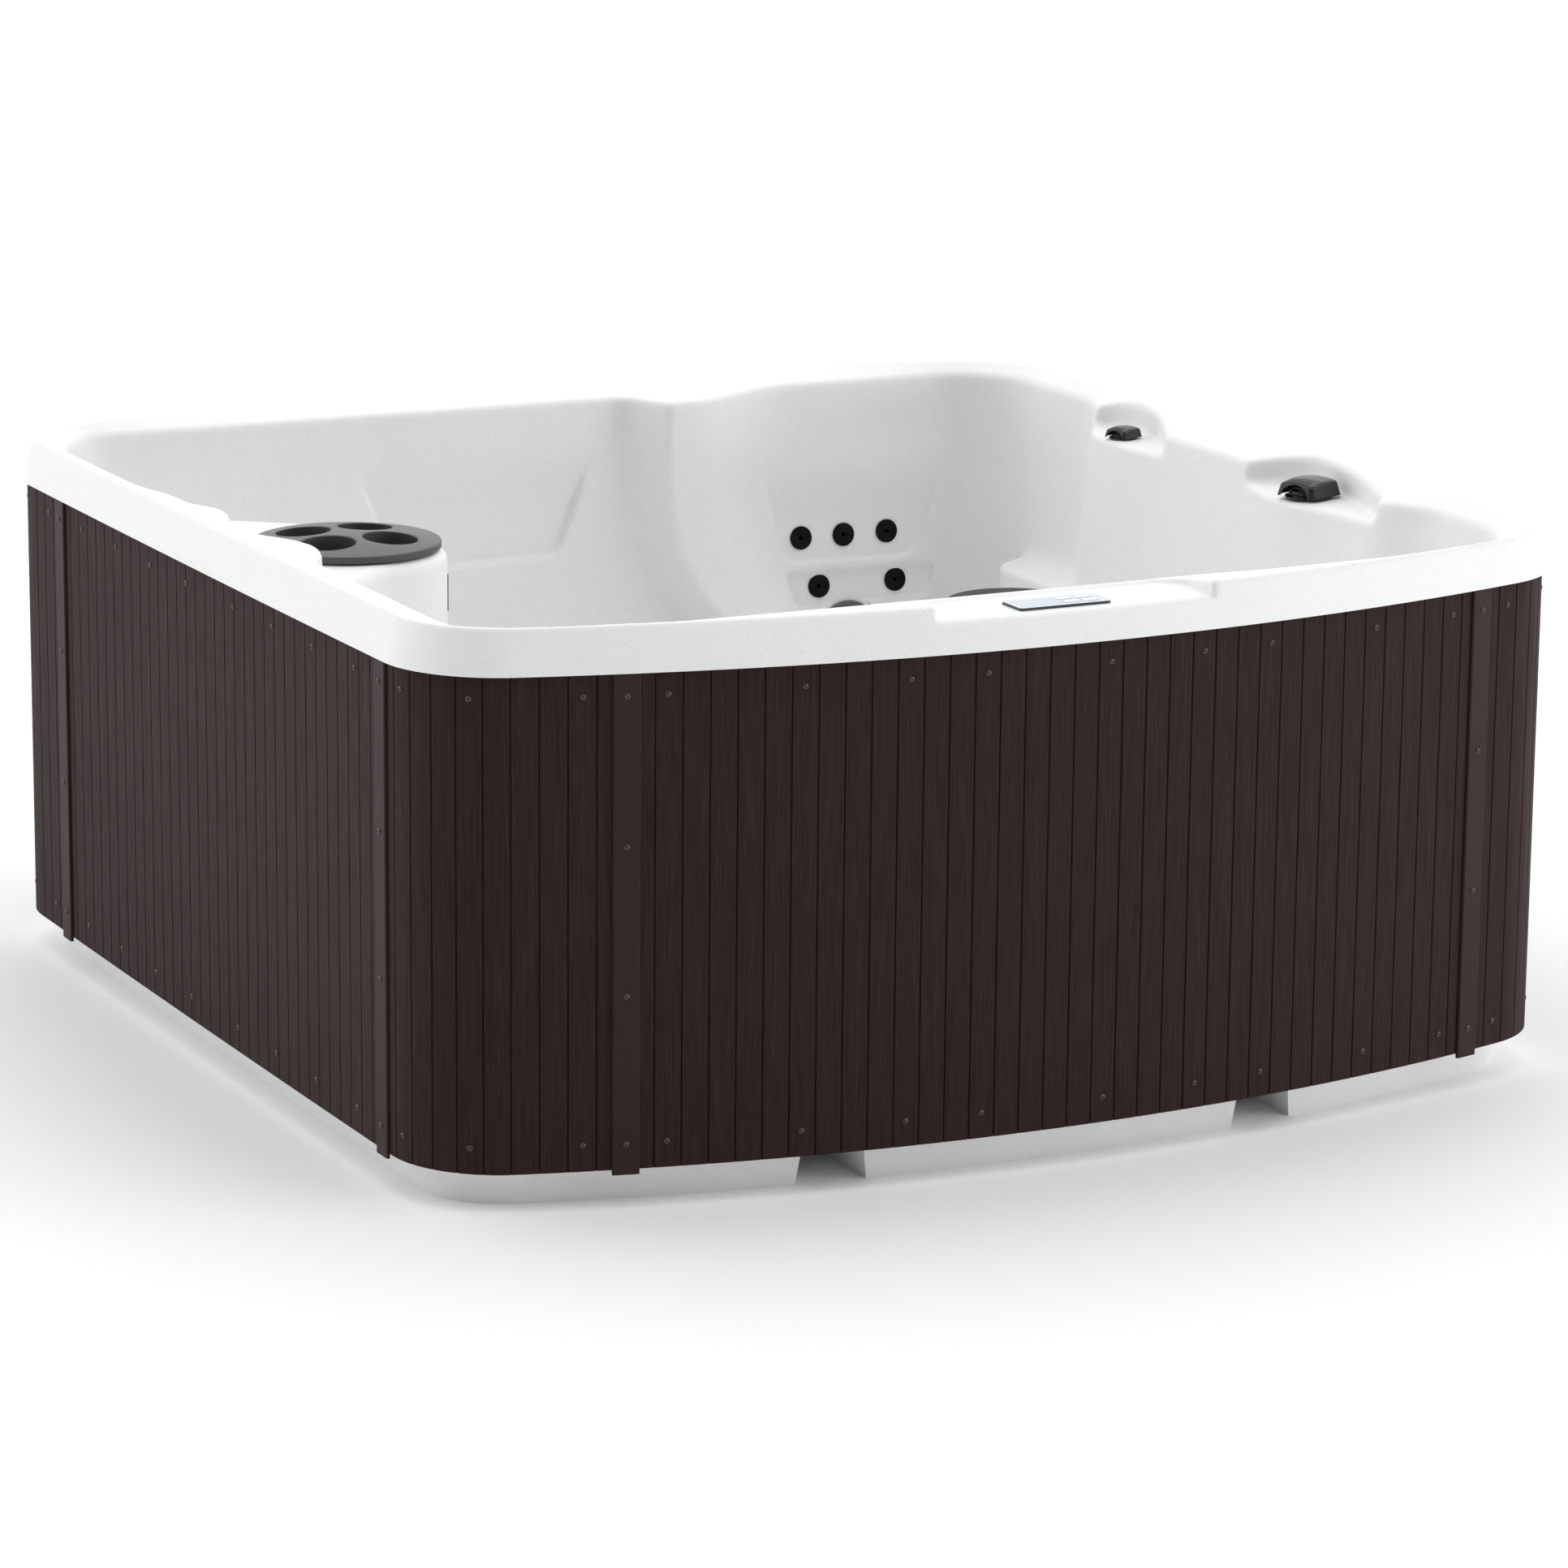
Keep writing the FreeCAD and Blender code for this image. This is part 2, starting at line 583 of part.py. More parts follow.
def below_dome(z):
    """Ball whose upper side is the tray's domed face, z high in the middle."""
    r = (TRAY_R**2 + TRAY_DOME**2) / (2 * TRAY_DOME)
    return Part.makeSphere(r, Vector(TRAY_X, TRAY_Y, z - r))


def drink_tray():
    """Domed lid with four round holes for its cups, in touching quarters with a hole each."""
    c, low = Vector(TRAY_X, TRAY_Y, 0), POD_TOP + GAP + 3.5
    disc = rod(c + Z_UP * low, Z_UP, TRAY_R, TRAY_TOP - low).common(below_dome(TRAY_TOP))
    rims = [e for e in disc.Edges if e.BoundBox.ZLength < 1e-6 and e.BoundBox.ZMin > low + 1]
    disc = disc.makeFillet(3.0, rims)
    for place in cup_places():
        disc = disc.cut(rod(place + Z_UP * (low - 5), Z_UP, CUP_R + CUP_WALL, 30))
    return Part.makeCompound(sectors(disc, TRAY_X, TRAY_Y, 4))


def tray_cups():
    """Cups that sit in the tray and hang into the filter housing."""
    made = []
    for place in cup_places():
        depth = TRAY_TOP - CUP_FLOOR
        cup = rod(place + Z_UP * CUP_FLOOR, Z_UP, CUP_R + CUP_WALL, depth)
        cup = cup.common(below_dome(TRAY_TOP - 0.5))
        made.append(cup.cut(rod(place + Z_UP * (CUP_FLOOR + CUP_WALL), Z_UP, CUP_R, depth)))
    return Part.makeCompound(made)


def filter_housing():
    """Cup in the tray's tower, with a square throat through the tower's wall for the weir.

    Its floor, its wall in wedges and its throat are touching solids of one moulding.
    """
    c, wall = Vector(TRAY_X, TRAY_Y, 0), HOUSING_WALL
    (x0, x1), (z0, z1), half = THROAT_X, THROAT_Z, THROAT_HALF
    floor_top = HOUSING_FLOOR + wall
    floor = tube(c + Z_UP * HOUSING_FLOOR, Z_UP, HOUSING_R, 20, wall)
    sides = rod(c + Z_UP * floor_top, Z_UP, HOUSING_R, POD_TOP - floor_top)
    sides = sides.fuse(rod(c + Z_UP * POD_TOP, Z_UP, HOUSING_R + 10, 3))
    sides = sides.cut(rod(c + Z_UP * HOUSING_FLOOR, Z_UP, HOUSING_R - wall, 300))
    sleeve = box(x0, x1, TRAY_Y - half, TRAY_Y + half, z0, z1)
    sleeve = sleeve.cut(rod(c + Z_UP * HOUSING_FLOOR, Z_UP, HOUSING_R, 300))
    inner = half - wall
    way = box(x0 - 1, x1 + 6, TRAY_Y - inner, TRAY_Y + inner, z0 + wall, z1 - wall)
    wedges = sectors(sides.cut(way), TRAY_X, TRAY_Y, WEDGES)
    return Part.makeCompound([floor, sleeve.cut(way)] + wedges)


def filter_cartridge():
    """Pleated cartridge between two end caps, with a threaded foot and an open core."""
    c = Vector(TRAY_X, TRAY_Y, 0)
    pleats, crest_r, root_r, cap_r, core_r = 32, 60, 50, 62, 22
    low = HOUSING_FLOOR + 6
    cap, paper = 10, 156
    points = []
    for k in range(2 * pleats + 1):
        r = crest_r if k % 2 else root_r
        a = math.pi * k / pleats
        points.append(c + Vector(r * math.cos(a), r * math.sin(a), low + cap + 2))
    core = Part.Face(Part.makePolygon(points)).extrude(Z_UP * paper)
    caps = [rod(c + Z_UP * z, Z_UP, cap_r, cap) for z in (low + 3, low + paper + 11)]
    foot = rod(c + Z_UP * low, Z_UP, core_r + 8, 5)
    return fuse([core, foot] + caps).cut(rod(c + Z_UP * (low - 6), Z_UP, core_r, 160))


def weir_door():
    """Flap across the throat, hinged along its foot on two stub pins."""
    half, (low, high) = THROAT_HALF, THROAT_Z
    hinge_x, thick, pin_r = -551, 4, 3
    x0, x1, y0, y1 = hinge_x - thick / 2, hinge_x + thick / 2, TRAY_Y - half, TRAY_Y + half
    leaf = box(x0, x1, y0 + 5.5, y1 - 5.5, low + 7.5, high - 8)
    barrel = rod(Vector(hinge_x, y0 + 4.5, low + 8), Vector(0, 1, 0), pin_r, 2 * half - 9)
    return leaf.fuse(barrel)


def ice_bucket():
    c = Vector(WELL_X, WELL_Y, 0)
    cup = rod(c + Z_UP * BUCKET_FLOOR, Z_UP, BUCKET_R, POD_TOP + 2 - BUCKET_FLOOR)
    cup = cup.fuse(rod(c + Z_UP * (POD_TOP + GAP), Z_UP, BUCKET_R + 8, 3))
    return cup.cut(rod(c + Z_UP * (BUCKET_FLOOR + 3), Z_UP, BUCKET_R - BUCKET_WALL, 300))


def well_lid():
    """Round lid with a raised grip bar."""
    c = Vector(WELL_X, WELL_Y, 0)
    low = POD_TOP + 4
    disc = rod(c + Z_UP * low, Z_UP, WELL_R, 10)
    rims = [e for e in disc.Edges if abs(e.BoundBox.ZLength) < 1e-6 and e.BoundBox.ZMax > low + 5]
    disc = disc.makeFillet(4.0, rims)
    plug = tube(c + Z_UP * (low - 8), Z_UP, BUCKET_R - 6, BUCKET_R - 10, 9)
    half_l, half_w = 45, 7
    grip = rounded_box(
        WELL_X - half_l, WELL_X + half_l, WELL_Y - half_w, WELL_Y + half_w, low + 9, low + 16, 6
    )
    return fuse([disc, plug, grip])


# ---- control pad ----------------------------------------------------------------------------
BUTTONS = {"jets": (18, 12), "light": (50, 12), "warmer": (18, -12), "cooler": (50, -12)}


BEZEL_Z = PAD_Z + FIT
DISPLAY_X = (-68.0, -2.0)  # window seat, from the keypad's centre
DISPLAY_HALF_Y = 21.0
BUTTON_HALF = (13.0, 8.0)


def keypad_box(x0, x1, half_y, z0, z1, dy=0.0):
    """Box by distances from the keypad's centre and from the bezel's underside."""
    y = KEYPAD_Y + dy
    return box(KEYPAD_X + x0, KEYPAD_X + x1, y - half_y, y + half_y, BEZEL_Z + z0, BEZEL_Z + z1)


def control_bezel():
    """Frame with a body below it that drops into the rim, open under the window and buttons."""
    x, y, z = KEYPAD_X, KEYPAD_Y, BEZEL_Z
    half_x, half_y = KEYPAD_W / 2, KEYPAD_D / 2
    plate = rounded_box(x - half_x, x + half_x, y - half_y, y + half_y, z, z + 4, 6)
    body_x, body_y, wall = KEYPAD_BODY_X, KEYPAD_BODY_Y, 3
    solid = plate.fuse(keypad_box(-body_x, body_x, body_y, -16, 1))
    solid = solid.cut(keypad_box(wall - body_x, body_x - wall, body_y - wall, -17, 1.5))
    left, right = DISPLAY_X
    solid = solid.cut(keypad_box(left, right, DISPLAY_HALF_Y, 2, 5))
    solid = solid.cut(keypad_box(left + 6, right - 6, DISPLAY_HALF_Y - 5, -1, 3))
    half_x, half_y = BUTTON_HALF
    for dx, dy in BUTTONS.values():
        solid = solid.cut(keypad_box(dx - half_x, dx + half_x, half_y, -1, 6, dy))
    return solid


def display_window():
    left, right = DISPLAY_X
    return keypad_box(left + 0.3, right - 0.3, DISPLAY_HALF_Y - 0.3, 2, 4)


def button(dx, dy):
    half_x, half_y = (half - GAP for half in BUTTON_HALF)
    cap = keypad_box(dx - half_x, dx + half_x, half_y, -2.6, 5, dy)
    top = [e for e in cap.Edges if e.BoundBox.ZMin > BEZEL_Z + 4.9]
    return cap.makeFillet(0.8, top)


def keypad_board():
    """Circuit board in the bezel's body, with a dome switch under each button."""
    x, y, face = KEYPAD_X, KEYPAD_Y, -7.4
    board = keypad_box(-66.5, 66.5, 19.5, face - 1.6, face)
    base = BEZEL_Z + face - 0.2
    domes = [rod(Vector(x + dx, y + dy, base), Z_UP, 3.5, 3.6) for dx, dy in BUTTONS.values()]
    module = keypad_box(-60, -10, 15, face - 0.2, -0.5)
    return fuse([board, module] + domes)


# ---- spouts and jets --------------------------------------------------------------------------
def spout_at(shape, x, y, size):
    shape.scale(size)
    turn = FreeCAD.Rotation(Z_UP, SPOUT_AIM)
    return placed(shape, FreeCAD.Placement(Vector(x, y, SPOUT_Z), turn))


def spout_base(x, y, size):
    """Flange, riser through the shell, and a round nozzle that points along +X before turning."""
    ahead, nozzle_z = Vector(1, 0, 0), 13
    flange = rod(Vector(0, 0, 0), Z_UP, 40, 5)
    riser = rod(Vector(0, 0, -34), Z_UP, RISER_R, 36)
    turret = rod(Vector(0, 0, 4), Z_UP, 24, 16)
    nozzle = rod(Vector(0, 0, nozzle_z), ahead, 9, 30)
    solid = fuse([flange, riser, turret, nozzle])
    solid = solid.cut(rod(Vector(8, 0, nozzle_z), ahead, 6.5, 40))
    return spout_at(solid.cut(rod(Vector(0, 0, -40), Z_UP, 8, 50)), x, y, size)


def spout_hood(x, y, size):
    """Bonnet over the nozzle, arched at the front and open below."""
    half, wall, low, high = 36, 4, 5.6, 33
    shell = rounded_box(-half, half, -half, half, low, high, 9)
    top = [e for e in shell.Edges if e.BoundBox.ZMin > high - 0.1]
    shell = shell.makeFillet(5, top)
    inner = half - wall
    shell = shell.cut(rounded_box(-inner, inner, -inner, inner, low - 1.6, high - wall, 6))
    arch = rod(Vector(20, 0, 6), Vector(1, 0, 0), 22, 30)
    return spout_at(shell.cut(arch), x, y, size)


JET_BORE_R = 15.0


def jet_body():
    """Wall fitting: flange on the wet side, barrel through the wall, union behind it."""
    solid = rod(Vector(0, 0, FIT), Z_UP, JET_R, 3)
    solid = solid.fuse(rod(Vector(0, 0, -42), Z_UP, JET_BARREL_R, 44))
    solid = solid.fuse(rod(Vector(0, 0, -36), Z_UP, JET_BARREL_R + 6, 22))
    solid = solid.cut(rod(Vector(0, 0, -16), Z_UP, JET_BORE_R + 0.06, 40))
    return solid.cut(rod(Vector(0, 0, -50), Z_UP, 8, 60))


def jet_face():
    """Turning insert with a dished face, an eye and three finger scallops."""
    solid = rod(Vector(0, 0, -15), Z_UP, JET_BORE_R, 18)
    solid = solid.cut(Part.makeSphere(14, Vector(0, 0, 14.5)))
    solid = solid.cut(rod(Vector(0, 0, -20), Z_UP, 4, 40))
    scallops, reach = 3, 11.5
    for k in range(scallops):
        a = 2 * math.pi * k / scallops
        at = Vector(reach * math.cos(a), reach * math.sin(a), 1.4)
        solid = solid.cut(rod(at, Z_UP, 1.6, 5))
    return solid


def suction_cover(r):
    """Domed grating with rings of holes and a pipe stub behind."""
    thick, wall = 9, 5
    solid = rod(Vector(0, 0, 0.8), Z_UP, r, thick)
    rims = [e for e in solid.Edges if e.BoundBox.ZMin > thick + 0.5]
    solid = solid.makeFillet(wall, rims).cut(rod(Vector(0, 0, 0), Z_UP, r - wall, 6.5))
    for ring_r, count in ((r * 0.32, 6), (r * 0.56, 12), (r * 0.78, 18)):
        for k in range(count):
            a = 2 * math.pi * k / count
            at = Vector(ring_r * math.cos(a), ring_r * math.sin(a), 0)
            solid = solid.cut(rod(at, Z_UP, r * 0.055, 20))
    stub = tube(Vector(0, 0, -38), Z_UP, SUCTION_R, SUCTION_R - 4, 45)
    return solid.fuse(stub)


def footwell_covers():
    made = []
    turn = FreeCAD.Rotation(Z_UP, Vector(0, 1, 0))
    for x in FOOT_SUCTION_X:
        at = FreeCAD.Placement(Vector(x, FOOT_FRONT_Y, FOOT_SUCTION_Z), turn)
        made.append(placed(suction_cover(48), at))
    return Part.makeCompound(made)


# ---- equipment bay ----------------------------------------------------------------------------
X_AHEAD = Vector(1, 0, 0)
PLINTH = PAN_FLOOR + FIT  # what the equipment stands on
PUMP = Vector(-250, -720, 160)  # left end of the pump's volute
OUTLET = Vector(-220, -775, 160)
OUTLET_TOP = 290.0
OUTLET_R = 24


def pump_wet_end():
    volute = rod(PUMP, X_AHEAD, 78, 60)
    inlet = rod(PUMP - X_AHEAD * 40, X_AHEAD, SUCTION_R, 42)
    outlet = rod(OUTLET, Z_UP, OUTLET_R, OUTLET_TOP - OUTLET.z)
    foot = box(PUMP.x + 5, PUMP.x + 55, PUMP.y - 40, PUMP.y + 40, PLINTH, 100)
    return fuse([volute, inlet, outlet, foot])


def pump_motor():
    """Finned motor on a cradle."""
    length, r = 220, 68
    start = PUMP + X_AHEAD * 60.4
    body = rod(start, X_AHEAD, r, length)
    fins = [rod(start + X_AHEAD * (20 + 14 * k), X_AHEAD, r + 6, 4) for k in range(12)]
    cradle = box(start.x + 30, start.x + 180, PUMP.y - 50, PUMP.y + 50, PLINTH, 110)
    cap = rod(start + X_AHEAD * length, X_AHEAD, r - 6, 24)
    return fuse([body, cradle, cap] + fins)


def heater_tube():
    base, length, r = Vector(-200, -920, 150), 380, 32
    solid = rod(base, X_AHEAD, r, length)
    nut = 22
    nuts = [rod(base + X_AHEAD * d, X_AHEAD, r + 10, nut) for d in (0, length - nut)]
    terminals = box(-90, 60, base.y - 25, base.y + 25, base.z, base.z + 64)
    legs = [box(x, x + 20, base.y - 15, base.y + 15, PLINTH, base.z) for x in (-150, 100)]
    return fuse([solid, terminals] + nuts + legs)


def control_box():
    x0, x1, y0, y1, top, over = 230, 400, -960, -700, 300, 4
    case = rounded_box(x0, x1, y0, y1, PLINTH, top, 14)
    lid = rounded_box(x0 - over, x1 + over, y0 - over, y1 + over, top, top + 12, 16)
    return case.fuse(lid)


def pipework():
    """Rigid runs from the pump's outlet and inlet, open at the hose tails."""
    riser = rod(Vector(OUTLET.x, OUTLET.y, OUTLET_TOP + GAP), Z_UP, OUTLET_R, 26)
    header = rod(Vector(-380, OUTLET.y, OUTLET_TOP + 26), X_AHEAD, 12, 300)
    suction = rod(PUMP - X_AHEAD * 70, X_AHEAD, SUCTION_R, 30 - GAP)
    return Part.makeCompound([riser.fuse(header), suction])


def floor_slab():
    """Rigid foam between the pan and the footwell's floor."""
    half_x, half_y, y = 420, 440, FOOT_DRAIN_Y
    slab = rounded_box(-half_x, half_x, y - half_y, y + half_y, PLINTH, FLOOR_Z - WALL - FIT, 80)
    return slab.cut(rod(Vector(0, y, PAN_FLOOR - 1), Z_UP, FOOT_DRAIN_R + 4, 60))


def drain_grate():
    centre = Vector(0, FOOT_DRAIN_Y, FLOOR_Z)
    solid = rod(centre + Z_UP * FIT, Z_UP, FOOT_DRAIN_R + 12, 4)
    solid = solid.fuse(rod(centre - Z_UP * 20, Z_UP, FOOT_DRAIN_R, 22))
    solid = solid.cut(rod(centre - Z_UP * 30, Z_UP, FOOT_DRAIN_R - 5, 31))
    holes, reach = 6, 9
    for k in range(holes):
        a = 2 * math.pi * k / holes
        at = centre + Vector(reach * math.cos(a), reach * math.sin(a), -5)
        solid = solid.cut(rod(at, Z_UP, 3, 20))
    return solid


DRAIN_Y, DRAIN_Z = -300.0, 150.0
GLAND_Y, GLAND_Z = -520.0, 150.0
OUTLET_FACE = HALF_X - 12.5  # the drain's end, sunk so that nothing stands past the rim
GLAND_FACE = HALF_X - 7.0
DRAIN_R, DRAIN_BORE = 13.0, 9.0
GLAND_R, GLAND_BORE = 16.0, 11.0


def side_hole(y, z, r):
    return rod(Vector(900, y, z), X_AHEAD, r, 200)


def drain_valve():
    """Hose outlet low on the cabinet's right side, with a nut behind the panel."""
    end = Vector(OUTLET_FACE, DRAIN_Y, DRAIN_Z)
    spigot = tube(end - X_AHEAD * 70, X_AHEAD, DRAIN_R, DRAIN_BORE, 70)
    return spigot.fuse(tube(end - X_AHEAD * 45, X_AHEAD, DRAIN_R + 7, DRAIN_BORE, 18))


def drain_cap():
    """Knurled cap that turns on the outlet's end."""
    end, r, depth = Vector(OUTLET_FACE, DRAIN_Y, DRAIN_Z), DRAIN_R + 5, 18
    cap = rod(end - X_AHEAD * 14, X_AHEAD, r, depth)
    cap = cap.cut(rod(end - X_AHEAD * 15, X_AHEAD, DRAIN_R + 0.06, 15.4))
    flutes = 18
    for k in range(flutes):
        a = 2 * math.pi * k / flutes
        around = Vector(0, math.cos(a), math.sin(a)) * (r + 0.4)
        cap = cap.cut(rod(end - X_AHEAD * 16 + around, X_AHEAD, 1.2, depth + 4))
    return cap


def cable_gland():
    """Bushed entry for the supply conduit through the right panel."""
    end = Vector(GLAND_FACE, GLAND_Y, GLAND_Z)
    sleeve = tube(end - X_AHEAD * 30, X_AHEAD, GLAND_R, GLAND_BORE, 30)
    return sleeve.fuse(tube(end - X_AHEAD * 0.6, X_AHEAD, GLAND_R + 4, GLAND_BORE, 4))


# ---- write every piece --------------------------------------------------------------------------
def main():
    save("tub_shell", tub_shell())
    save("base_pan", base_pan())
    for name in PANELS:
        shape = panel(name)
        if name == "panel_right":
            shape = shape.cut(side_hole(DRAIN_Y, DRAIN_Z, DRAIN_R + 7.5))
            shape = shape.cut(side_hole(GLAND_Y, GLAND_Z, GLAND_R + FIT))
        save(name, shape)
    for name, s in STRIPS.items():
        save("strip_" + name, strip(s))
    save("cabinet_screws", screws())
    save("frame_posts", posts())
    save("top_rail", top_rail())
    save("floor_slab", floor_slab())
    save("drink_tray", drink_tray())
    save("tray_cups", tray_cups())
    save("filter_housing", filter_housing())
    save("filter_cartridge", filter_cartridge())
    save("weir_door", weir_door())
    save("ice_bucket", ice_bucket())
    save("well_lid", well_lid())
    save("control_bezel", control_bezel())
    save("display_window", display_window())
    for name, (dx, dy) in BUTTONS.items():
        save("button_" + name, button(dx, dy))
    save("keypad_board", keypad_board())
    bases = [spout_base(*place) for place in SPOUT_PLACES.values()]
    save("spout_bases", Part.makeCompound(bases))
    for name, place in SPOUT_PLACES.items():
        save("spout_hood_" + name, spout_hood(*place))
    save("jet_bodies", Part.makeCompound([placed(jet_body(), jet_frame(*j)) for j in JETS]))
    for k, j in enumerate(JETS, 1):
        save(f"jet_face_{k}", placed(jet_face(), jet_frame(*j)))
    save("suction_cover_seat", placed(suction_cover(60), jet_frame(*SEAT_SUCTION)))
    save("suction_covers_footwell", footwell_covers())
    save("drain_grate", drain_grate())
    save("pump_wet_end", pump_wet_end())
    save("pump_motor", pump_motor())
    save("heater_tube", heater_tube())
    save("control_box", control_box())
    save("pipework", pipework())
    save("drain_valve", drain_valve())
    save("drain_cap", drain_cap())
    save("cable_gland", cable_gland())


main()
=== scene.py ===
import math

import bpy
import numpy as np
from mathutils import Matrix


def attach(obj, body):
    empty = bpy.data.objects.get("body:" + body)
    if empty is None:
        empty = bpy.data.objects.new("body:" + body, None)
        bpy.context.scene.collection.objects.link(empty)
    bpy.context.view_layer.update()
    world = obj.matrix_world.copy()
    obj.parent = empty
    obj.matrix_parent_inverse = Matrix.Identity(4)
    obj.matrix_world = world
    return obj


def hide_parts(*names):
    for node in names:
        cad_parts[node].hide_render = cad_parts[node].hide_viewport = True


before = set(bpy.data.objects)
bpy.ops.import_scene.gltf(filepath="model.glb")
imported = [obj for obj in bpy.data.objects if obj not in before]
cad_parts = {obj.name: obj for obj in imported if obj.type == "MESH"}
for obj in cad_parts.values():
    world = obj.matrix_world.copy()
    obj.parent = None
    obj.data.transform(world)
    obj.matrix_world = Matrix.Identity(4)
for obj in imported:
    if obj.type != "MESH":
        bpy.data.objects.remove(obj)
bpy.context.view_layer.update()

import openvdb
from mathutils import Matrix, Vector

# A portable hot tub. Metres, +Z up, -Y is the front, the same frame as the CAD model.

# ---- camera, floor and light ------------------------------------------------------------------
CAMERA_AT = (-4.225, -8.575, 2.63)
CAMERA_YAW = math.radians(-26.50)
CAMERA_PITCH = math.radians(13.33)  # downwards
CAMERA_ROLL = math.radians(0.52)
CAMERA_LENS = 134.98
CAMERA_SENSOR = 36.0
FLOOR_HALF = 40.0

# The surroundings are dimmer towards DIM_SIDE, from DIM_FROM to DIM_FULL of the way round to it.
DIM_SIDE = (-0.50, -0.86, -0.10)
DIM_FROM, DIM_FULL = 0.30, 0.80
WORLD_BRIGHT, WORLD_DIM = 1.30, 0.0

# Name, place, point aimed at, width, height and watts of each area light.
AREA_LIGHTS = [
    ("top", (0.0, 1.0, 4.6), (0.2, 0.0, 0.5), 5.0, 4.0, 16),
    ("key_left", (-5.0, 4.0, 1.3), (0.0, 0.0, 0.6), 3.0, 2.0, 26),
    ("fill_right", (5.5, -5.0, 1.3), (0.0, 0.0, 0.5), 3.0, 2.0, 85),
]


def add_camera():
    forward = Vector((
        -math.sin(CAMERA_YAW) * math.cos(CAMERA_PITCH),
        math.cos(CAMERA_YAW) * math.cos(CAMERA_PITCH),
        -math.sin(CAMERA_PITCH),
    ))
    level = Vector((math.cos(CAMERA_YAW), math.sin(CAMERA_YAW), 0.0))
    upright = level.cross(forward)
    right = level * math.cos(CAMERA_ROLL) + upright * math.sin(CAMERA_ROLL)
    up = upright * math.cos(CAMERA_ROLL) - level * math.sin(CAMERA_ROLL)
    data = bpy.data.cameras.new("camera")
    data.lens = CAMERA_LENS
    data.sensor_width = CAMERA_SENSOR
    data.clip_end = 100.0
    camera = bpy.data.objects.new("camera", data)
    turn = Matrix((right, up, -forward)).transposed().to_4x4()
    camera.matrix_world = Matrix.Translation(CAMERA_AT) @ turn
    bpy.context.scene.collection.objects.link(camera)
    bpy.context.scene.camera = camera


def add_floor():
    mesh = bpy.data.meshes.new("floor")
    signs = [(-1, -1), (1, -1), (1, 1), (-1, 1)]
    corners = [(i * FLOOR_HALF, j * FLOOR_HALF, 0) for i, j in signs]
    mesh.from_pydata(corners, [], [(0, 1, 2, 3)])
    floor = bpy.data.objects.new("floor", mesh)
    bpy.context.scene.collection.objects.link(floor)
    made = Material("studio_floor")
    shade = made.noise(0.6, 2.0)
    made.colour(made.mix(shade, grey(0.965), grey(0.975)))
    made.shader("Roughness", 0.8)
    made.shader("Specular IOR Level", 0.2)
    mesh.materials.append(made.material)


def add_light(name, place, aim, width, height, power):
    data = bpy.data.lights.new(name, "AREA")
    data.shape = "RECTANGLE"
    data.size = width
    data.size_y = height
    data.energy = power
    light = bpy.data.objects.new(name, data)
    light.location = place
    away = Vector(aim) - Vector(place)
    light.rotation_euler = away.to_track_quat("-Z", "Y").to_euler()
    bpy.context.scene.collection.objects.link(light)


def add_world():
    """Soft white surroundings with a dim side in front of the left corner, plain white behind."""
    world = bpy.data.worlds.new("studio")
    world.use_nodes = True
    tree = world.node_tree
    shade = tree.nodes["Background"]
    shade.inputs["Color"].default_value = (1.0, 1.0, 1.0, 1.0)
    plain = tree.nodes.new("ShaderNodeBackground")
    plain.inputs["Color"].default_value = (1.0, 1.0, 1.0, 1.0)
    coords = tree.nodes.new("ShaderNodeTexCoord")
    facing = tree.nodes.new("ShaderNodeVectorMath")
    facing.operation = "DOT_PRODUCT"
    facing.inputs[1].default_value = DIM_SIDE
    fall = tree.nodes.new("ShaderNodeMapRange")
    fall.interpolation_type = "SMOOTHSTEP"
    fall.inputs["From Min"].default_value = DIM_FROM
    fall.inputs["From Max"].default_value = DIM_FULL
    fall.inputs["To Min"].default_value = WORLD_BRIGHT
    fall.inputs["To Max"].default_value = WORLD_DIM
    path = tree.nodes.new("ShaderNodeLightPath")
    choose = tree.nodes.new("ShaderNodeMixShader")
    link = tree.links.new
    link(coords.outputs["Generated"], facing.inputs[0])
    link(facing.outputs["Value"], fall.inputs["Value"])
    link(fall.outputs["Result"], shade.inputs["Strength"])
    link(path.outputs["Is Camera Ray"], choose.inputs["Fac"])
    link(shade.outputs["Background"], choose.inputs[1])
    link(plain.outputs["Background"], choose.inputs[2])
    link(choose.outputs["Shader"], tree.nodes["World Output"].inputs["Surface"])
    bpy.context.scene.world = world


def add_studio():
    bpy.context.scene.view_settings.view_transform = "Standard"
    add_world()
    for values in AREA_LIGHTS:
        add_light(*values)


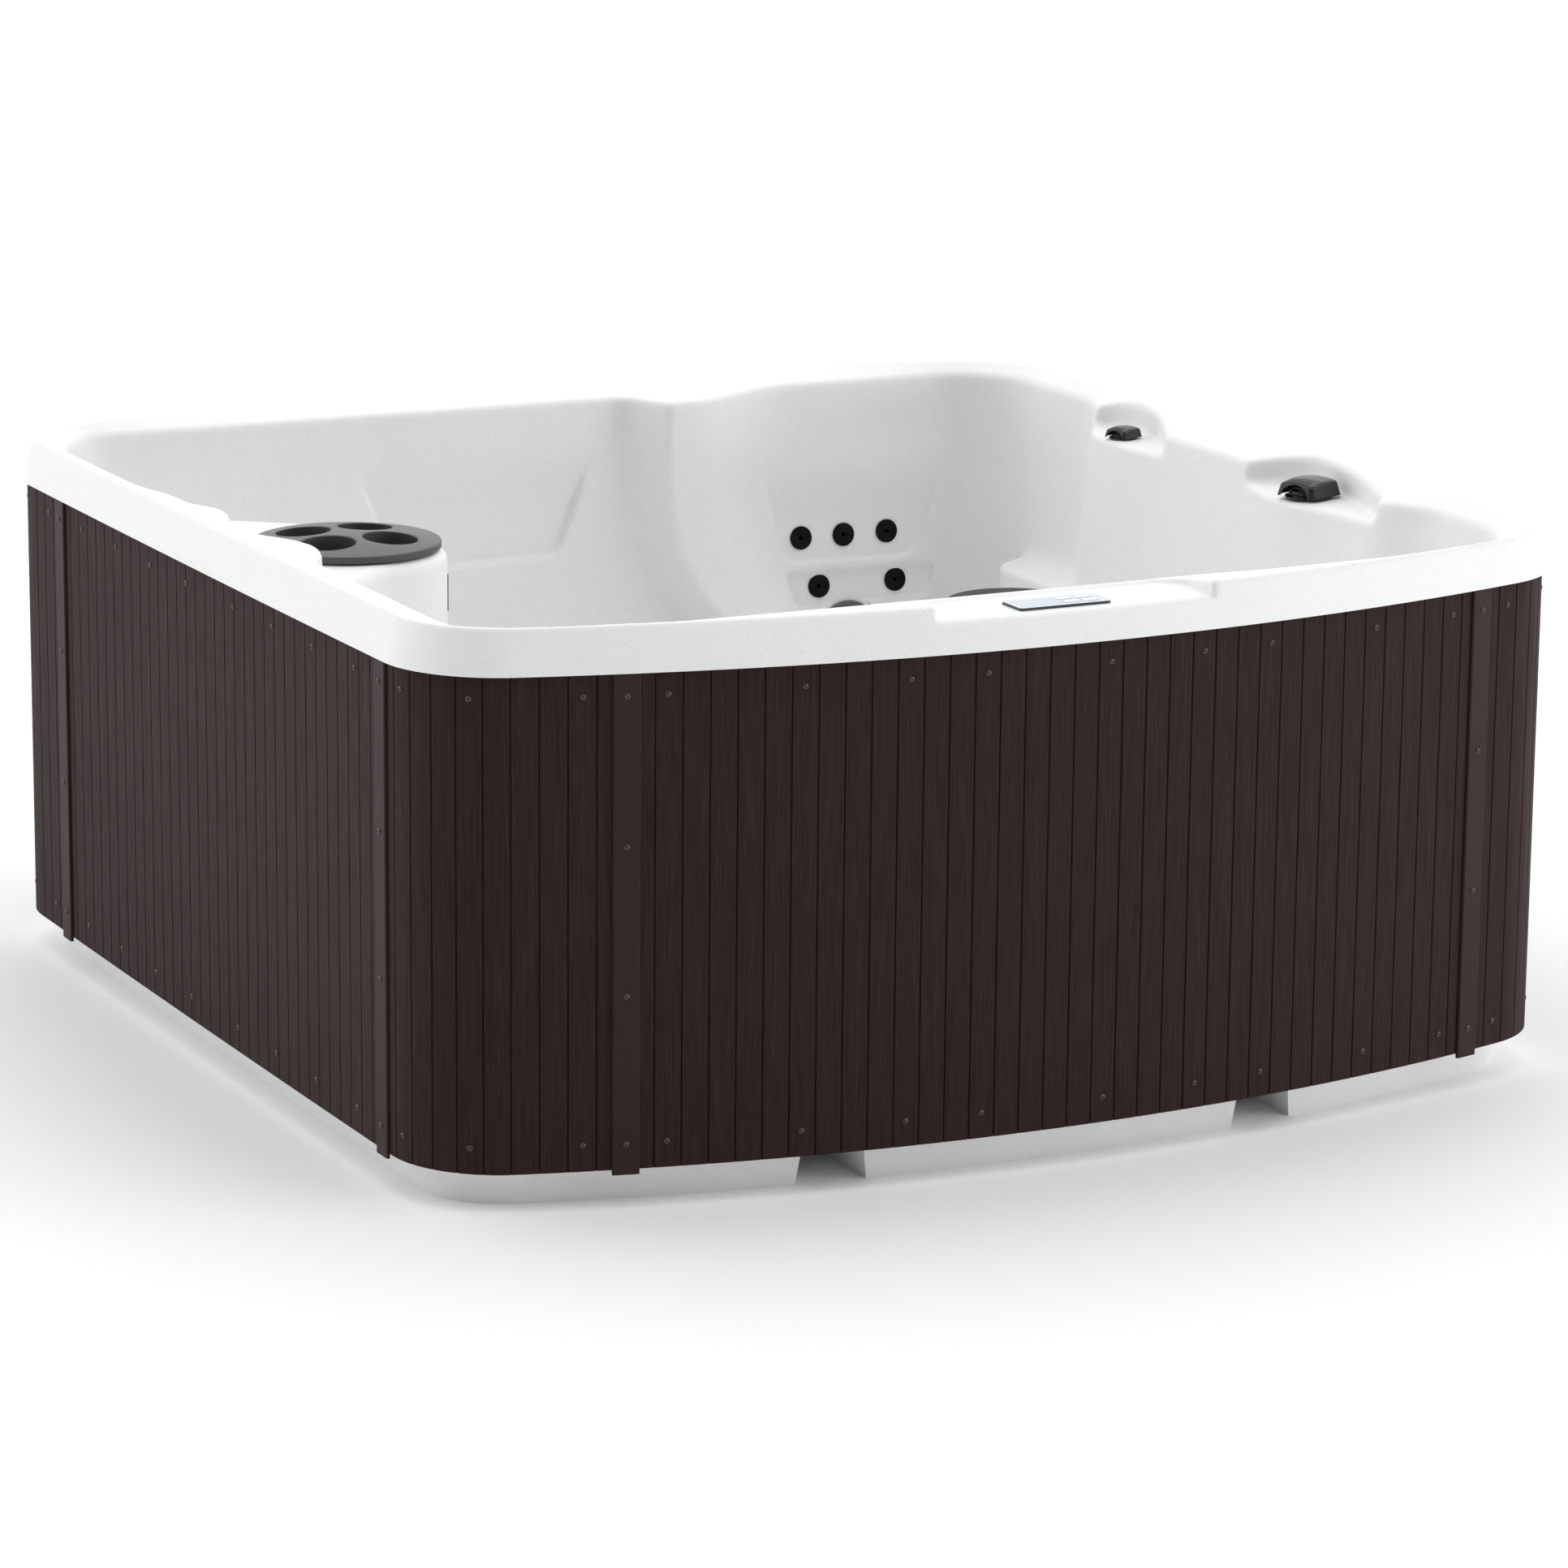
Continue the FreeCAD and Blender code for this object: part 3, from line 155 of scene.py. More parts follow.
# ---- materials ----------------------------------------------------------------------------------
class Material:
    """A node material built around one Principled shader."""

    def __init__(self, name):
        self.material = bpy.data.materials.new(name)
        self.material.use_nodes = True
        self.tree = self.material.node_tree
        self.principled = self.tree.nodes["Principled BSDF"]
        self.coords = self.tree.nodes.new("ShaderNodeTexCoord").outputs["Object"]

    def shader(self, socket, value):
        self.principled.inputs[socket].default_value = value

    def node(self, kind, **sockets):
        made = self.tree.nodes.new("ShaderNode" + kind)
        for name, value in sockets.items():
            self.put(made, name.replace("_", " "), value)
        return made

    def put(self, node, name, value):
        socket = node.inputs[name]
        if isinstance(value, bpy.types.NodeSocket):
            self.tree.links.new(value, socket)
        else:
            socket.default_value = value

    def stretched(self, scale):
        """Object coordinates scaled by (x, y, z)."""
        mapping = self.node("Mapping", Vector=self.coords, Scale=scale)
        return mapping.outputs["Vector"]

    def noise(self, scale, detail=3.0, rough=0.5, stretch=(1.0, 1.0, 1.0)):
        made = self.node("TexNoise", Vector=self.stretched(stretch), Scale=scale)
        made.inputs["Detail"].default_value = detail
        made.inputs["Roughness"].default_value = rough
        return made.outputs["Fac"]

    def speckle(self, scale):
        made = self.node("TexVoronoi", Vector=self.coords, Scale=scale)
        return made.outputs["Distance"]

    def ramp(self, value, low, high, start, stop):
        """Colours or greys from low at start to high at stop."""
        made = self.node("ValToRGB", Fac=value)
        points = made.color_ramp.elements
        points[0].position = start
        points[0].color = low
        points[1].position = stop
        points[1].color = high
        return made.outputs["Color"]

    def spread(self, value, low, high, start=0.0, stop=1.0):
        """The value carried from the range start to stop onto the range low to high."""
        made = self.node("MapRange", Value=value)
        made.inputs["From Min"].default_value = start
        made.inputs["From Max"].default_value = stop
        made.inputs["To Min"].default_value = low
        made.inputs["To Max"].default_value = high
        return made.outputs["Result"]

    def mix(self, amount, first, second, blend="MIX"):
        made = self.tree.nodes.new("ShaderNodeMix")
        made.data_type = "RGBA"
        made.blend_type = blend
        for index, value in ((0, amount), (6, first), (7, second)):
            if isinstance(value, bpy.types.NodeSocket):
                self.tree.links.new(value, made.inputs[index])
            else:
                made.inputs[index].default_value = value
        return made.outputs[2]

    def colour(self, value):
        self.put(self.principled, "Base Color", value)

    def roughness(self, value):
        self.put(self.principled, "Roughness", value)

    def bump(self, height, distance, strength=1.0):
        """Adds a layer of relief over any already there."""
        links = self.principled.inputs["Normal"].links
        made = self.node("Bump", Height=height, Distance=distance, Strength=strength)
        if links:
            self.tree.links.new(links[0].from_socket, made.inputs["Normal"])
        self.tree.links.new(made.outputs["Normal"], self.principled.inputs["Normal"])


def grey(value):
    return (value, value, value, 1.0)


def rotomoulded_white():
    """Cream-white polyethylene with a fine dark fleck and a pebbled satin skin."""
    made = Material("white_shell")
    patches = made.noise(7.0, 2.0)
    base = made.mix(patches, (0.835, 0.846, 0.843, 1.0), (0.865, 0.875, 0.872, 1.0))
    fleck = made.ramp(made.noise(420.0, 2.0, 0.6), grey(0.72), grey(1.0), 0.30, 0.42)
    made.colour(made.mix(0.55, base, fleck, "MULTIPLY"))
    made.roughness(made.spread(made.noise(90.0), 0.40, 0.56))
    made.bump(made.noise(600.0, 2.0), 0.0004, 0.25)
    made.bump(made.noise(18.0, 2.0), 0.004, 0.12)
    return made.material


def slat_brown():
    """Dark brown moulded slats with a fine vertical wood grain."""
    made = Material("brown_slats")
    fibres = made.noise(520.0, 6.0, 0.65, (1.0, 1.0, 0.018))
    figure = made.noise(60.0, 4.0, 0.55, (1.0, 1.0, 0.06))
    base = made.ramp(fibres, (0.016, 0.0070, 0.0065, 1.0), (0.044, 0.0225, 0.0205, 1.0), 0.32, 0.70)
    made.colour(made.mix(made.spread(figure, 0.0, 0.5), base, (0.024, 0.0115, 0.0105, 1.0)))
    made.roughness(made.spread(fibres, 0.74, 0.58, 0.3, 0.7))
    made.shader("Specular IOR Level", 0.13)
    made.bump(fibres, 0.0009, 0.55)
    made.bump(figure, 0.0015, 0.25)
    return made.material


def strip_brown():
    """Smooth cover strips of the same brown, with a satin face."""
    made = Material("brown_strip")
    cloud = made.noise(14.0, 3.0)
    made.colour(made.mix(cloud, (0.029, 0.0150, 0.0138, 1.0), (0.036, 0.0190, 0.0175, 1.0)))
    made.roughness(made.spread(made.noise(160.0), 0.46, 0.58))
    made.shader("Specular IOR Level", 0.14)
    made.bump(made.noise(700.0, 2.0), 0.0003, 0.2)
    return made.material


def moulded(name, colour, rough_low, rough_high, shine=0.5, grain=500.0, depth=0.0003, lighten=1.25):
    """Moulded plastic with a fine texture and slightly uneven colour."""
    made = Material(name)
    made.shader("Specular IOR Level", shine)
    pale = tuple(min(1.0, c * lighten) for c in colour) + (1.0,)
    made.colour(made.mix(made.noise(26.0, 4.0), tuple(colour) + (1.0,), pale))
    made.roughness(made.spread(made.noise(120.0), rough_low, rough_high))
    made.bump(made.noise(grain, 2.0), depth, 0.3)
    return made


def keypad_silver():
    """Pale silver overlay whose cut edges are dark."""
    made = Material("bezel_plastic")
    geometry = made.tree.nodes.new("ShaderNodeNewGeometry")
    split = made.tree.nodes.new("ShaderNodeSeparateXYZ")
    made.tree.links.new(geometry.outputs["True Normal"], split.inputs["Vector"])
    face = made.mix(made.noise(60.0, 3.0), (0.56, 0.61, 0.66, 1.0), (0.64, 0.69, 0.73, 1.0))
    upright = made.spread(split.outputs["Z"], 0.0, 1.0, 0.6, 0.95)
    made.colour(made.mix(upright, (0.020, 0.030, 0.045, 1.0), face))
    made.roughness(made.spread(made.noise(200.0), 0.28, 0.40))
    made.bump(made.noise(700.0, 2.0), 0.0001, 0.3)
    return made.material


def painted_metal(name, colour, rough_low, rough_high, metallic):
    made = moulded(name, colour, rough_low, rough_high, 0.5, 900.0, 0.0001)
    made.shader("Metallic", metallic)
    return made


def wood():
    """Sawn softwood of the hidden frame."""
    made = Material("frame_wood")
    rings = made.noise(90.0, 5.0, 0.6, (1.0, 1.0, 0.05))
    made.colour(made.ramp(rings, (0.42, 0.26, 0.13, 1.0), (0.68, 0.48, 0.28, 1.0), 0.3, 0.7))
    made.roughness(made.spread(rings, 0.85, 0.65))
    made.bump(rings, 0.001, 0.5)
    return made.material


def foam():
    """Rigid insulating foam with a coarse cell pattern."""
    made = Material("foam")
    cells = made.speckle(160.0)
    made.colour(made.ramp(cells, (0.60, 0.66, 0.74, 1.0), (0.82, 0.86, 0.90, 1.0), 0.0, 0.6))
    made.roughness(made.spread(cells, 0.95, 0.8))
    made.bump(cells, 0.003, 0.5)
    return made.material


def filter_paper():
    """Fibrous filter media."""
    made = Material("filter_paper")
    fibres = made.noise(700.0, 4.0, 0.6)
    made.colour(made.ramp(fibres, (0.70, 0.72, 0.74, 1.0), (0.88, 0.90, 0.92, 1.0), 0.3, 0.7))
    made.roughness(made.spread(fibres, 0.95, 0.85))
    made.bump(fibres, 0.0006, 0.5)
    return made.material


def circuit_board():
    """Green board with paler tracks."""
    made = Material("circuit_board")
    tracks = made.noise(240.0, 1.0, 0.3)
    made.colour(made.ramp(tracks, (0.01, 0.09, 0.03, 1.0), (0.03, 0.20, 0.07, 1.0), 0.45, 0.55))
    made.roughness(made.spread(tracks, 0.45, 0.3))
    made.bump(tracks, 0.0001, 0.5)
    return made.material


def make_materials():
    """The material of each slot of the part."""
    made = {
        "white_shell": rotomoulded_white(),
        "brown_slats": slat_brown(),
        "brown_strip": strip_brown(),
        "frame_wood": wood(),
        "foam": foam(),
        "filter_paper": filter_paper(),
        "circuit_board": circuit_board(),
        "bezel_plastic": keypad_silver(),
    }
    # Colour, lowest and highest roughness, and specular level.
    plastics = {
        "dark_screws": ((0.050, 0.030, 0.027), 0.22, 0.34, 0.5),
        "dark_grey_plastic": ((0.060, 0.060, 0.061), 0.34, 0.46, 0.35),
        "white_plastic": ((0.76, 0.77, 0.77), 0.30, 0.42, 0.5),
        "display": ((0.40, 0.46, 0.52), 0.10, 0.18, 0.5),
        "button_silver": ((0.66, 0.70, 0.74), 0.30, 0.40, 0.5),
        "gloss_black": ((0.004, 0.004, 0.004), 0.10, 0.18, 0.35),
        "satin_black": ((0.022, 0.022, 0.023), 0.26, 0.36, 0.35),
        "black_jets": ((0.003, 0.003, 0.003), 0.45, 0.55, 0.12),
        "grey_cover": ((0.10, 0.105, 0.11), 0.35, 0.48, 0.3),
        "pump_plastic": ((0.020, 0.021, 0.023), 0.40, 0.55, 0.5),
        "box_plastic": ((0.22, 0.23, 0.24), 0.40, 0.52, 0.5),
        "pipe_pvc": ((0.66, 0.67, 0.68), 0.30, 0.42, 0.5),
    }
    for name, values in plastics.items():
        made[name] = moulded(name, *values).material
    # Colour, lowest and highest roughness, and metallic level.
    metals = {
        "motor_metal": ((0.10, 0.13, 0.18), 0.35, 0.50, 0.6),
        "heater_steel": ((0.62, 0.62, 0.60), 0.22, 0.38, 1.0),
    }
    for name, values in metals.items():
        made[name] = painted_metal(name, *values).material
    return made


# ---- shapes as distances --------------------------------------------------------------------------
# Each field below is negative inside its shape. x, y and z are arrays of the same length.
def soft_min(a, b, k):
    h = np.maximum(k - np.abs(a - b), 0.0) / k
    return np.minimum(a, b) - h * h * k * 0.25


def soft_max(a, b, k):
    return -soft_min(-a, -b, k)


def round_max(a, b, r):
    """Both shapes at once, with their common edge rounded to radius r."""
    u = np.maximum(a + r, 0.0)
    v = np.maximum(b + r, 0.0)
    return np.minimum(np.maximum(a, b), -r) + np.sqrt(u * u + v * v)


def ramp_up(value, start, stop):
    """Smooth 0 to 1 between start and stop."""
    t = np.clip((value - start) / (stop - start), 0.0, 1.0)
    return t * t * (3.0 - 2.0 * t)


def rounded_rect(u, v, low_u, high_u, low_v, high_v, r):
    du = np.abs(u - (low_u + high_u) / 2) - (high_u - low_u) / 2 + r
    dv = np.abs(v - (low_v + high_v) / 2) - (high_v - low_v) / 2 + r
    outside = np.sqrt(np.maximum(du, 0.0) ** 2 + np.maximum(dv, 0.0) ** 2)
    return outside + np.minimum(np.maximum(du, dv), 0.0) - r


def half_plane(u, v, at, towards):
    """Distance past a line through `at` whose outward direction is `towards`."""
    length = math.hypot(*towards)
    return ((u - at[0]) * towards[0] + (v - at[1]) * towards[1]) / length


def convex(u, v, points, k):
    """Convex polygon with anticlockwise points and edges softened by k."""
    field = None
    for (u0, v0), (u1, v1) in zip(points, points[1:] + points[:1]):
        side = half_plane(u, v, (u0, v0), (v1 - v0, u0 - u1))
        field = side if field is None else soft_max(field, side, k)
    return field


# ---- tub shell ------------------------------------------------------------------------------------
# Rim: half sizes, bow of each side, corner radius, and the heights of its crest, band and inner lip.
HALF_X, HALF_Y = 1.000, 1.083
BOW_X, BOW_Y = 0.006, 0.167
CORNER = 0.1865
CREST_Z, BAND_Z, LIP_Z = 0.886, 0.814, 0.866
BAND_LEAN = 0.016
CREST_ROUND = 0.008

# Bathing space. Each plan is low x, high x, low y, high y and corner radius.
SEAT_Z, FLOOR_Z = 0.340, 0.110
DRAFT = 0.045
MAIN_PLAN = (-0.902, 0.872, -0.918, 0.918, 0.15)
REAR_RIGHT_PLAN = (0.25, 0.936, 0.42, 0.920, 0.155)
FRONT_RIGHT_PLAN = (0.25, 0.922, -0.905, -0.50, 0.150)
REAR_LEFT_PLAN = (-0.920, -0.2, 0.30, 0.918, 0.155)
FOOTWELL_PLAN = (-0.43, 0.43, -0.47, 0.43, 0.11)
WALL_Y = 0.918
DIVIDER_PLAN = [(0.221, 0.815), (0.305, 0.826), (0.51, 0.945), (0.51, 1.1), (0.09, 1.1)]
ARMREST_PLAN, ARMREST_Z = (0.815, 1.20, 0.40, 0.725, 0.085), 0.550

# Towers for the tray and the ice bucket, with the bores down them and the weir's throat.
POD_TOP = 0.806
TRAY_AT, TRAY_POD_R = (-0.700, 0.085), 0.162
TRAY_WEB = [(-0.95, -0.29), (-0.63, -0.02), (-0.60, 0.26), (-0.95, 0.53)]
TRAY_BORE_R, TRAY_BORE_Z = 0.1370, 0.556
WELL_AT, WELL_POD_R = (0.050, -0.790), 0.123
WELL_BORE_R, WELL_BORE_Z = 0.0970, 0.596
THROAT_X, THROAT_LENGTH = -0.56, 0.12
THROAT_WIDTH, THROAT_LOW, THROAT_HIGH = 0.109, 0.6995, 0.7605

# Shelves and pockets on the right rim, where the spouts stand, and the flat for the control pad.
LEDGE_Z = 0.830
FRONT_SHELF = [
    (1.20, -0.02), (0.884, -0.09), (0.837, -0.20), (0.837, -0.31), (0.912, -0.54), (1.2, -0.62),
]
REAR_SHELF_AT, REAR_SHELF_R = (1.186, 0.300), 0.324
FRONT_POCKET = [
    (0.60, -0.62), (0.90, -0.50), (0.945, -0.37), (0.962, -0.30), (0.962, -0.18), (0.90, -0.11),
    (0.60, -0.06),
]
REAR_POCKET = [
    (0.60, 0.08), (0.875, 0.17), (0.925, 0.26), (0.957, 0.36), (0.957, 0.43), (0.92, 0.49),
    (0.60, 0.56),
]
PAD_PLAN, PAD_Z = (-0.225, 0.245, -1.30, -0.938, 0.055), 0.863

# Panels pressed into the back wall, as x and z, and the holes for the fittings.
PAD_DEPTH = 0.009
BACKREST = [(-0.27, 0.585), (0.040, 0.590), (0.125, 0.80), (-0.36, 0.80)]
HIGH_JET_PANEL = [(0.490, 0.541), (0.752, 0.536), (0.835, 0.715), (0.440, 0.715)]
LOW_JET_PANEL = [(0.505, 0.455), (0.782, 0.458), (0.800, 0.522), (0.485, 0.522)]
WALL_JETS = [(0.525, 0.584), (0.612, 0.584), (0.701, 0.584), (0.559, 0.493), (0.716, 0.493)]
FRONT_JETS = [(-0.640, 0.560), (-0.540, 0.560), (0.500, 0.560), (0.600, 0.560)]
JET_HOLE_R = 0.0160
SEAT_SUCTION, SUCTION_SEAT_R, SUCTION_HOLE_R = (0.616, 0.402), 0.066, 0.0302

# Grid the skin is made on, and how far in from the rim's outline its outer wall reaches.
GRID = 0.008
SKIN_LOW, SKIN_HIGH = (-1.024, -1.112, 0.078), (1.024, 1.112, 0.910)
OUTER_WALL = 0.03


def footprint(x, y):
    """Distance to the rim's outline: four bowed sides and four corner arcs."""
    side_r = (HALF_Y**2 + BOW_X**2) / (2 * BOW_X)
    end_r = (HALF_X**2 + BOW_Y**2) / (2 * BOW_Y)
    side_c, end_c = HALF_X - side_r, HALF_Y - end_r
    r1, r2 = side_r - CORNER, end_r - CORNER
    gap = math.hypot(side_c, end_c)
    along = (r1**2 - r2**2 + gap**2) / (2 * gap)
    across = math.sqrt(r1**2 - along**2)
    ux, uy = -side_c / gap, end_c / gap
    kx = side_c + along * ux - across * uy
    ky = along * uy + across * ux
    a1, a2 = math.atan2(ky, kx - side_c), math.atan2(ky - end_c, kx)
    px, py = np.abs(x), np.abs(y)
    sides = np.maximum(np.hypot(px - side_c, py) - side_r, np.hypot(px, py - end_c) - end_r)
    angle = np.arctan2(py - ky, px - kx)
    in_corner = (angle > a1) & (angle < a2)
    return np.where(in_corner, np.hypot(px - kx, py - ky) - CORNER, sides)


def back_wall(x, z):
    """Y of the plain back wall at this height."""
    return WALL_Y - DRAFT * (LIP_Z - z) / (LIP_Z - SEAT_Z) - 0.002 * (x / 0.89) ** 2


def divider(x, y, z):
    """Ridge between the rear seats, which sweeps right and forward into an armrest."""
    drop = np.clip(0.74 - z, 0.0, 0.42)
    sweep = 1.1 * drop**2 + 5.0 * drop**4
    u = x - 0.9 * sweep
    v = y + 0.22 * sweep
    return convex(u, v, DIVIDER_PLAN, 0.014)


def seat_hollow(x, y, z):
    """The space above the seats, down to their pans."""
    down = DRAFT * np.clip((LIP_Z - z) / (LIP_Z - SEAT_Z), -0.2, 1.1)
    main = rounded_rect(x, y, *MAIN_PLAN) + down
    rear_right = rounded_rect(x, y, *REAR_RIGHT_PLAN) + down * 1.1
    front_right = rounded_rect(x, y, *FRONT_RIGHT_PLAN) + down * 1.1
    rear_left = rounded_rect(x, y, *REAR_LEFT_PLAN) + down
    plan = soft_min(soft_min(main, rear_right, 0.05), soft_min(front_right, rear_left, 0.05), 0.05)
    pan = SEAT_Z + 0.012 * np.cos(np.clip(np.hypot(x, y) * 3.0, 0, math.pi)) - z
    return soft_max(plan, pan, 0.09)


def foot_hollow(x, y, z):
    """The footwell below the seats."""
    plan = rounded_rect(x, y, *FOOTWELL_PLAN)
    return round_max(plan, FLOOR_Z - z, 0.05)


def pod(x, y, z, at, r, web):
    """Round tower with a web back to its wall; web is the wall's outward direction."""
    u, v = x - at[0], y - at[1]
    tower = np.hypot(u, v) - r
    along = u * web[0] + v * web[1]
    across = np.abs(u * web[1] - v * web[0]) - r
    block = np.maximum(across, -along)
    return round_max(soft_min(tower, block, 0.004), z - POD_TOP, 0.018)


def tray_pod(x, y, z):
    """Tower for the drinks tray, which widens to both sides as it meets the left wall."""
    tower = np.hypot(x - TRAY_AT[0], y - TRAY_AT[1]) - TRAY_POD_R
    web = convex(x, y, TRAY_WEB, 0.04)
    return round_max(soft_min(tower, web, 0.03), z - POD_TOP, 0.020)


def shoulders(x, y):
    """Two swellings of the left wall, one each side of the tray."""
    rear = np.hypot(x + 0.960, y - 0.170) - 0.085
    front = np.hypot(x + 1.000, y + 0.160) - 0.147
    return np.minimum(rear, front)


def armrest(x, y, z):
    """Flat shelf low on the right wall beside the rear seat."""
    plan = rounded_rect(x, y, *ARMREST_PLAN)
    return round_max(plan, z - ARMREST_Z, 0.014)


def lumbar_pad(x, y, z):
    """The rear right seat's back stands slightly proud, below its soft top edge."""
    high = ramp_up(-z, -0.800, -0.690)
    wide = ramp_up(x, 0.36, 0.44) * ramp_up(-x, -0.90, -0.80)
    return back_wall(x, z) - PAD_DEPTH * high * wide - y


def recesses(x, y, z):
    """Shallow panels pressed into the back wall: a backrest, two jet panels and a suction's seat."""
    wall = back_wall(x, z)
    rest = convex(x, z, BACKREST, 0.03)
    rest_depth = 0.020 * ramp_up(-z, -0.800, -0.660) - 0.006
    upper = convex(x, z, HIGH_JET_PANEL, 0.030)
    upper_depth = 1.6 * PAD_DEPTH * (ramp_up(-z, -0.730, -0.610) - 1.0)
    lower = convex(x, z, LOW_JET_PANEL, 0.025)
    lower_depth = PAD_DEPTH * (ramp_up(-z, -0.528, -0.505) - 1.0)
    seat = np.hypot(x - SEAT_SUCTION[0], z - SEAT_SUCTION[1]) - SUCTION_SEAT_R
    cut = round_max(rest, y - wall - rest_depth, 0.006)
    cut = np.minimum(cut, round_max(upper, y - wall - upper_depth, 0.005))
    cut = np.minimum(cut, round_max(lower, y - wall - lower_depth, 0.005))
    cut = np.minimum(cut, round_max(seat, y - wall, 0.003))
    return np.maximum(cut, wall - 0.06 - y)


def wells(x, y, z):
    """Bores down the two towers for the filter housing and the ice bucket, and the weir's throat."""
    tray = np.hypot(x - TRAY_AT[0], y - TRAY_AT[1]) - TRAY_BORE_R
    tray = np.maximum(tray, TRAY_BORE_Z - z)
    bucket = np.hypot(x - WELL_AT[0], y - WELL_AT[1]) - WELL_BORE_R
    bucket = np.maximum(bucket, WELL_BORE_Z - z)
    side = THROAT_WIDTH / 2
    throat = rounded_rect(y - TRAY_AT[1], z, -side, side, THROAT_LOW, THROAT_HIGH, 0.004)
    throat = np.maximum(throat, np.abs(x - THROAT_X) - THROAT_LENGTH / 2)
    return np.minimum(np.minimum(tray, bucket), throat)


def fitting_holes(x, y, z):
    """Round holes through the walls for the jets and the seat's suction cover."""
    near_wall = np.abs(np.abs(y) - back_wall(x, z)) - 0.02
    not_rear = np.where(y > 0, 0.0, 1.0)
    not_front = np.where(y < 0, 0.0, 1.0)
    holes = np.hypot(x - SEAT_SUCTION[0], z - SEAT_SUCTION[1]) - SUCTION_HOLE_R + not_rear
    for jets, elsewhere in ((WALL_JETS, not_rear), (FRONT_JETS, not_front)):
        for at_x, at_z in jets:
            bore = np.hypot(x - at_x, z - at_z) - JET_HOLE_R
            holes = np.minimum(holes, bore + elsewhere)
    return np.maximum(holes, near_wall)


def bathing_space(x, y, z):
    """All that is open inside the rim: seats and footwell less what stands up into them."""
    hollow = soft_min(seat_hollow(x, y, z), foot_hollow(x, y, z), 0.05)
    hollow = soft_max(hollow, -lumbar_pad(x, y, z), 0.012)
    hollow = soft_max(hollow, -divider(x, y, z), 0.028)
    hollow = soft_max(hollow, -armrest(x, y, z), 0.030)
    hollow = soft_max(hollow, -shoulders(x, y), 0.030)
    hollow = soft_max(hollow, -tray_pod(x, y, z), 0.050)
    hollow = soft_max(hollow, -pod(x, y, z, WELL_AT, WELL_POD_R, (0.0, -1.0)), 0.030)
    front_shelf = round_max(convex(x, y, FRONT_SHELF, 0.05), z - LEDGE_Z, 0.012)
    rear_shelf = np.hypot(x - REAR_SHELF_AT[0], y - REAR_SHELF_AT[1]) - REAR_SHELF_R
    rear_shelf = round_max(rear_shelf, z - LEDGE_Z, 0.012)
    hollow = soft_max(hollow, -front_shelf, 0.025)
    hollow = soft_max(hollow, -rear_shelf, 0.025)
    return soft_min(hollow, recesses(x, y, z), 0.006)


def pockets(x, y, z):
    """Cut-outs in the right rim behind the two spouts."""
    plan = np.minimum(convex(x, y, FRONT_POCKET, 0.03), convex(x, y, REAR_POCKET, 0.03))
    return round_max(plan, LEDGE_Z - z, 0.014)


def shell(x, y, z):
    """The moulded tub as a solid whose upper side is the shell's visible skin."""
    edge = footprint(x, y)
    lean = math.atan2(BAND_LEAN, CREST_Z - BAND_Z)
    band = (edge + BAND_LEAN * np.clip((z - BAND_Z) / (CREST_Z - BAND_Z), 0.0, 1.1)) * math.cos(lean)
    depth = np.maximum(-edge - BAND_LEAN, 0.0)
    space = bathing_space(x, y, z)
    plan = np.maximum(bathing_space(x, y, np.full_like(z, LIP_Z)), 0.0)
    slope = (CREST_Z - LIP_Z) * depth / np.maximum(depth + plan, 0.02)
    top = (z - CREST_Z + slope) * math.cos(lean)
    body = round_max(band, top, CREST_ROUND)
    pad = round_max(rounded_rect(x, y, *PAD_PLAN), PAD_Z - z, 0.006)
    body = soft_max(body, -pad, 0.010)
    body = soft_max(body, -pockets(x, y, z), 0.014)
    body = soft_max(body, -space, 0.011)
    body = np.maximum(body, -wells(x, y, z))
    return np.maximum(body, -fitting_holes(x, y, z))


def gradient(field, points, step=0.0006):
    """Slope of the field at each point."""
    x, y, z = points.T
    parts = []
    for axis in range(3):
        ahead, behind = points.copy(), points.copy()
        ahead[:, axis] += step
        behind[:, axis] -= step
        parts.append((field(*ahead.T) - field(*behind.T)) / (2 * step))
    return np.stack(parts, axis=1)


def skin_mesh(field, low, high, grid):
    """Mesh of a field's zero surface, with its points moved onto that surface."""
    counts = [int(round((b - a) / grid)) + 1 for a, b in zip(low, high)]
    axes = [np.linspace(a, a + grid * (n - 1), n) for a, n in zip(low, counts)]
    values = np.empty(counts, dtype=np.float32)
    ys, zs = np.meshgrid(axes[1], axes[2], indexing="ij")
    for k, x in enumerate(axes[0]):
        row = field(np.full(ys.size, x), ys.ravel(), zs.ravel())
        values[k] = row.reshape(ys.shape)
    volume = openvdb.FloatGrid(grid)
    volume.copyFromArray(np.clip(values, -3 * grid, 3 * grid))
    points, triangles, quads = volume.convertToPolygons(0.0, 0.0)
    points = np.asarray(points, dtype=np.float64) * grid + np.array(low)
    for _ in range(3):
        slope = gradient(field, points)
        size = np.maximum((slope**2).sum(axis=1), 0.2)
        move = slope * (field(*points.T) / size)[:, None]
        points -= np.clip(move, -grid / 2, grid / 2)
    faces = [tuple(int(i) for i in face) for face in triangles]
    faces += [tuple(int(i) for i in face) for face in quads]
    return points, faces


def link_mesh(name, points, faces):
    mesh = bpy.data.meshes.new(name)
    mesh.from_pydata([tuple(p) for p in points], [], faces)
    mesh.validate()
    made = bpy.data.objects.new(name, mesh)
    bpy.context.scene.collection.objects.link(made)
    return made


